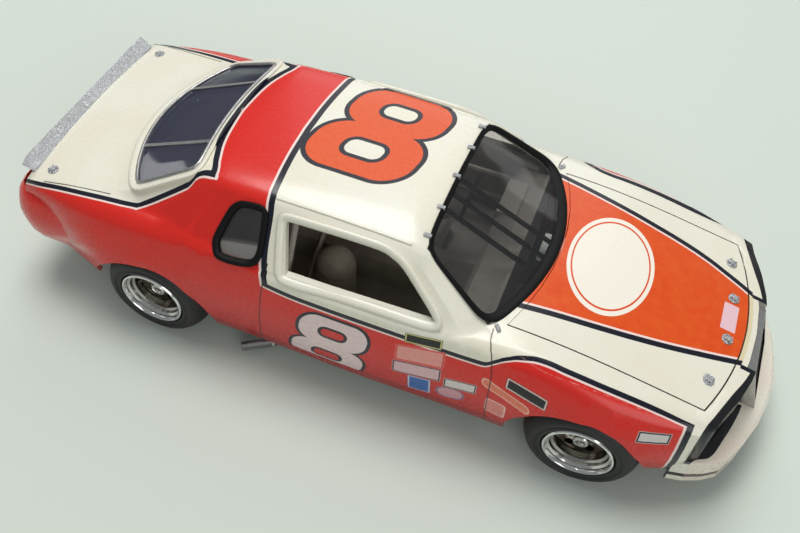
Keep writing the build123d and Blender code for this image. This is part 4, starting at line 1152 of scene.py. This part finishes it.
# %% Outlines of the windows
SCREEN_LOW, SCREEN_LOW_MIDDLE = (31.6, 28.6), (39.9, 0.0)
SCREEN_HIGH, SCREEN_HIGH_MIDDLE = (13.6, 23.0), (13.2, 0.0)
REAR_LOW, REAR_LOW_MIDDLE = (-62.6, 25.8), (-70.9, 0.0)
REAR_HIGH, REAR_HIGH_MIDDLE = (-46.0, 21.6), (-48.0, 0.0)
QUARTER_WINDOW = [
    (-25.0, 38.4), (-34.8, 38.0), (-36.6, 39.4), (-36.8, 41.4),
    (-34.2, 48.0), (-32.4, 49.6), (-27.0, 50.2), (-25.6, 49.2),
]
DOOR_FRAME = [
    (23.2, 38.2), (2.0, 37.8), (-18.6, 37.5), (-19.4, 39.2),
    (-21.2, 49.2), (-20.6, 50.3), (-8.0, 50.7), (4.6, 50.7), (10.0, 48.8),
]
CABIN_TOP = 60.0
RUBBER_SINK, SURROUND_SINK, RAIL_SINK = 0.15, 0.3, 0.1
# steps along a screen's lower edge, its sides, its upper edge, and each edge of a side window
LOW_STEPS, EDGE_STEPS, HIGH_STEPS, SIDE_STEPS = 32, 14, 26, 8


def mirrored(point):
    return (point[0], -point[1])


def sunk(cast, depth):
    """The place that a drop found, moved into the surface."""
    hit, normal = cast
    return hit - normal * depth * MM


def from_above(x, y):
    return drop(x, y, CABIN_TOP, (0, 0, -1))


def screen_loop(low, low_middle, high, high_middle):
    """A screen's outline in plan, dropped on to the skin."""
    side_middle = ((low[0] + high[0]) / 2, (low[1] + high[1]) / 2)
    plan = bow(low, low_middle, mirrored(low), LOW_STEPS)
    plan += bow(mirrored(low), mirrored(side_middle), mirrored(high), EDGE_STEPS)
    plan += bow(mirrored(high), high_middle, high, HIGH_STEPS)
    plan += bow(high, side_middle, low, EDGE_STEPS)
    return [sunk(from_above(x, y), RUBBER_SINK) for x, y in plan]


def side_loop(outline, sign):
    """A window's outline seen from the side, moved on to the skin."""
    loop = []
    count = len(outline)
    for index, (x0, z0) in enumerate(outline):
        x1, z1 = outline[(index + 1) % count]
        for step in range(SIDE_STEPS):
            t = step / SIDE_STEPS
            cast = drop(x0 + (x1 - x0) * t, CABIN_TOP * sign, z0 + (z1 - z0) * t, (0, -sign, 0))
            loop.append(sunk(cast, RUBBER_SINK))
    return loop


def softened(loop, rounds):
    """Rounds the corners of a closed loop by averaging each point with its neighbours."""
    for _ in range(rounds):
        count = len(loop)
        loop = [(loop[k - 1] + loop[k] * 2 + loop[(k + 1) % count]) / 4 for k in range(count)]
    return loop


def around(loop, reach):
    """The same outline on the skin, a little outside the first."""
    middle = sum(loop, Vector()) / len(loop)
    wider = []
    for point in loop:
        away = Vector((point.x - middle.x, point.y - middle.y)).normalized() * reach
        wider.append(sunk(from_above(point.x / MM + away.x, point.y / MM + away.y), SURROUND_SINK))
    return wider


front_screen = screen_loop(SCREEN_LOW, SCREEN_LOW_MIDDLE, SCREEN_HIGH, SCREEN_HIGH_MIDDLE)
rear_screen = screen_loop(REAR_LOW, REAR_LOW_MIDDLE, REAR_HIGH, REAR_HIGH_MIDDLE)
print("screen outlines:", len(front_screen), "points each")

# %% [markdown]
# The windscreen's rubber is thin at the roof and thick along the cowl, the rear window has a bright
# trim in a painted surround, and a drip rail runs above each door. They could be modelled one by
# one, but all are the same sweep, so one table gives their paths, sizes and finishes.


# %% Window rubbers
def screen_thickness(point):
    """The rubber is thin at the roof and thick along the cowl."""
    share = (point.x / MM - SCREEN_HIGH[0]) / (SCREEN_LOW_MIDDLE[0] - SCREEN_HIGH[0])
    return 0.5 + 0.5 * min(1.0, max(0.0, share)) ** 1.5


RAIL_START, RAIL_LENGTH, RAIL_Y, RAIL_STEPS = -24.0, 34.0, 23.4, 24


def ridge(sign):
    """The drip rail above a door, along the roll of the roof."""
    places = [RAIL_START + RAIL_LENGTH * step / RAIL_STEPS for step in range(RAIL_STEPS + 1)]
    return [sunk(from_above(x, sign * RAIL_Y), RAIL_SINK) for x in places]


quarters = [softened(side_loop(QUARTER_WINDOW, sign), 6) for sign in (1, -1)]
frames = [softened(side_loop(DOOR_FRAME, sign), 4) for sign in (1, -1)]
surround = softened(around(rear_screen, 1.5), 4)
# name, paths, closed, width, height, thickness, finish, slot
RUBBERS = [
    ("windscreen_rubber", [softened(front_screen, 6)], True, 3.3, 1.0, screen_thickness, BLACK, "black"),
    ("rear_window_surround", [surround], True, 2.6, 1.1, None, LIVERY, "paint"),
    ("rear_window_trim", [softened(rear_screen, 3)], True, 1.0, 1.2, None, STEEL, "bright"),
    ("quarter_window_rubbers", quarters, True, 2.1, 1.3, None, BLACK, "black"),
    ("door_window_frames", frames, True, 2.6, 1.5, None, LIVERY, "paint"),
    ("drip_rails", [ridge(1), ridge(-1)], False, 0.9, 0.6, None, LIVERY, "paint"),
]
for name, paths, closed, width, height, thickness, material, slot in RUBBERS:
    settings = {"Width": width * MM, "Height": height * MM, "Finish": material}
    made = realized(name, path_mesh(name, paths, closed, thickness), SWEEP, settings, slot, "car")
    print(name, len(made.data.polygons), "faces")

# %% [markdown]
# Repeated pieces stand on points: hood and deck pins, the bars of the grille and the wheel nuts.
# Geometry Nodes copies one small master to every point and turns it to the direction kept there.
# A loop could place the copies as well, but the tree needs only points, wherever they come from.


# %% The scatter tree
def scatter_tree():
    tree, new, link, inside = started_tree("stood_on_points", Master="Object")
    to_points, shape = new("GeometryNodeMeshToPoints"), new("GeometryNodeObjectInfo")
    turned, copies = new("FunctionNodeAlignRotationToVector"), new("GeometryNodeInstanceOnPoints")
    turned.axis = "Z"
    link(inside.outputs["Geometry"], to_points.inputs["Mesh"])
    link(inside.outputs["Master"], shape.inputs["Object"])
    link(named_attribute(new, "aim", "FLOAT_VECTOR"), turned.inputs["Vector"])
    link(to_points.outputs[0], copies.inputs["Points"])
    link(shape.outputs["Geometry"], copies.inputs["Instance"])
    link(turned.outputs[0], copies.inputs["Rotation"])
    return finished_tree(tree, copies.outputs[0], inside)


SCATTER = scatter_tree()


def master(name, cage):
    """A small shape that is only ever copied, so it stays out of the scene."""
    bmesh.ops.recalc_face_normals(cage, faces=cage.faces)
    mesh = bpy.data.meshes.new(name)
    cage.to_mesh(mesh)
    cage.free()
    return bpy.data.objects.new(name, mesh)


def copied(name, cage, places, material, slot, body):
    """One shape at every place, turned to the direction that the place has."""
    mesh = bpy.data.meshes.new(name + "_points")
    mesh.from_pydata([tuple(point) for point, _ in places], [], [])
    aim = mesh.attributes.new("aim", "FLOAT_VECTOR", "POINT")
    for index, (_, direction) in enumerate(places):
        aim.data[index].vector = direction
    settings = {"Master": master(name + "_master", cage), "Finish": material}
    return realized(name, mesh, SCATTER, settings, slot, body)


def upright(radius, depth, angle):
    return Vector((radius * math.cos(angle), radius * math.sin(angle), depth)) * MM


print("scatter nodes:", len(SCATTER.nodes))

# %% [markdown]
# The pins that hold hood and deck are foil discs with a crossed clip. They stand on the body where
# a ray from above meets it, square to the surface there. Nuts stand round each wheel's centre.

# %% Pins and wheel nuts
PIN_SECTION = [
    (0.01, -0.3), (1.45, -0.3), (1.45, 0.12), (1.3, 0.22),
    (0.8, 0.24), (0.72, 0.7), (0.5, 0.85), (0.01, 0.88),
]
PIN_SIDES = 20
CLIP_SIZE, CLIP_HEIGHT, CLIP_TURNS = (2.5, 0.28, 0.24), 0.62, (0.5, 2.07)
# x, y of each pin
PINS = [(82.9, 18.9), (83.0, -18.8), (85.0, 7.4), (85.3, -5.6), (-87.8, 25.9), (-87.8, -26.4)]


def bar_into(cage, size, place):
    """Adds a box of the given size at a place."""
    stretch = Matrix.Diagonal((*(side * MM for side in size), 1.0))
    bmesh.ops.create_cube(cage, size=1.0, matrix=place @ stretch)


cage = bmesh.new()
turn_into(cage, PIN_SECTION, PIN_SIDES, upright)
for turn in CLIP_TURNS:
    bar_into(cage, CLIP_SIZE, Matrix.Translation((0, 0, CLIP_HEIGHT * MM)) @ Matrix.Rotation(turn, 4, "Z"))
places = [from_above(x, y) for x, y in PINS]
pins = copied("body_pins_finished", cage, places, FOIL, "bright", "car")
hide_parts("body_pins")
print("pins:", len(PINS), "with", len(pins.data.polygons), "faces")

NUT_SECTION = [(0.01, -0.2), (0.42, -0.2), (0.42, 0.25), (0.3, 0.4), (0.01, 0.42)]
NUT_COUNT, NUT_CIRCLE, NUT_SIDES = 5, 2.75, 6
for end, side, sign in CORNERS:
    cage = bmesh.new()
    turn_into(cage, NUT_SECTION, NUT_SIDES, upright)
    place = wheel_place(end, sign)
    turns = [2 * math.pi * (k + 0.75) / NUT_COUNT for k in range(NUT_COUNT)]
    places = [(place(NUT_CIRCLE, DISC_FACE_Y, turn), (0, sign, 0)) for turn in turns]
    copied(f"wheel_nuts_{end}_{side}", cage, places, STEEL, "bright", f"wheel_{end}_{side}")
print("wheel nuts:", NUT_COUNT * len(CORNERS))

# %% [markdown]
# Thin upright bars fill the grille and lean with the nose. An Array modifier would space them too,
# but the scatter tree is here already: one bar is made with its lean and stood on a row of points.

# %% Grille bars, leaning with the nose
BAR_COUNT, BAR_HALF_WIDTH = 17, 9.2
BAR_SIZE = (0.7, 0.45, 10.0)
BAR_X, BAR_Z = 95.15, 23.2
# x, z of the grille's foot and top, which give its lean
GRILLE_FOOT, GRILLE_TOP = (98.0, 16.8), (93.9, 29.2)
lean = -math.atan2(GRILLE_FOOT[0] - GRILLE_TOP[0], GRILLE_TOP[1] - GRILLE_FOOT[1])
cage = bmesh.new()
bar_into(cage, BAR_SIZE, Matrix.Rotation(lean, 4, "Y"))
spacing = 2 * BAR_HALF_WIDTH / (BAR_COUNT - 1)
across = [-BAR_HALF_WIDTH + k * spacing for k in range(BAR_COUNT)]
places = [(Vector((BAR_X, y, BAR_Z)) * MM, (0, 0, 1)) for y in across]
copied("grille_bars", cage, places, BLACK, "black", "car")
print("grille bars:", BAR_COUNT)

# %% [markdown]
# The stage is a plain pale floor under soft lamps, as in a product photograph. One broad lamp from
# above draws the long highlights, a second fills the near side, and the sky colour fills the rest.
# Two small ones stand where the glass mirrors them to the camera, for a soft glint on each screen.

# %% Floor and lamps
FLOOR_HALF = 3.0
floor_mesh = bpy.data.meshes.new("floor")
corners = [(x * FLOOR_HALF, y * FLOOR_HALF, 0.0) for x, y in ((-1, -1), (1, -1), (1, 1), (-1, 1))]
floor_mesh.from_pydata(corners, [], [(0, 1, 2, 3)])
floor_mesh.materials.append(Finish("pale_floor", base_color=colour(205, 213, 203), roughness=0.9).material)
stand("floor", floor_mesh)


def soft_box(name, place, ahead, size, power):
    """A square lamp at a place, shining ahead."""
    light = bpy.data.lights.new(name, "AREA")
    light.size = size
    light.energy = power
    lamp = stand(name, light)
    lamp.location = place
    lamp.rotation_euler = ahead.to_track_quat("-Z", "Y").to_euler()


# name, place in metres, size, power
LAMPS = [
    ("key", (-0.12, 0.16, 0.8), 0.42, 4.8),
    ("fill", (0.5, -0.6, 0.4), 0.5, 1.8),
    ("back", (-0.1, 0.7, 0.5), 0.6, 1.4),
]
for name, place, size, power in LAMPS:
    soft_box(name, place, -Vector(place), size, power)

# x, y on the glass where a small soft box mirrors, its size and power
GLINTS = [
    ("rear_glass_glint", -58.5, -22.5, 0.07, 0.022),
    ("screen_glint", 19.0, 19.5, 0.10, 0.02),
]
GLINT_REACH = 0.45
for name, x, y, size, power in GLINTS:
    hit, normal = from_above(x, y)
    normal = normal if normal.z > 0 else -normal
    seen = (hit - CAMERA_AT).normalized()
    back = seen - normal * 2 * seen.dot(normal)
    soft_box(name, hit + back * GLINT_REACH, -back, size, power)

world = bpy.data.worlds.new("sky")
world.use_nodes = True
sky = world.node_tree.nodes["Background"]
sky.inputs["Color"].default_value = colour(236, 240, 244)
sky.inputs["Strength"].default_value = 0.31
bpy.context.scene.world = world
bpy.context.scene.view_settings.view_transform = "Standard"
print("lamps:", len(LAMPS) + len(GLINTS))
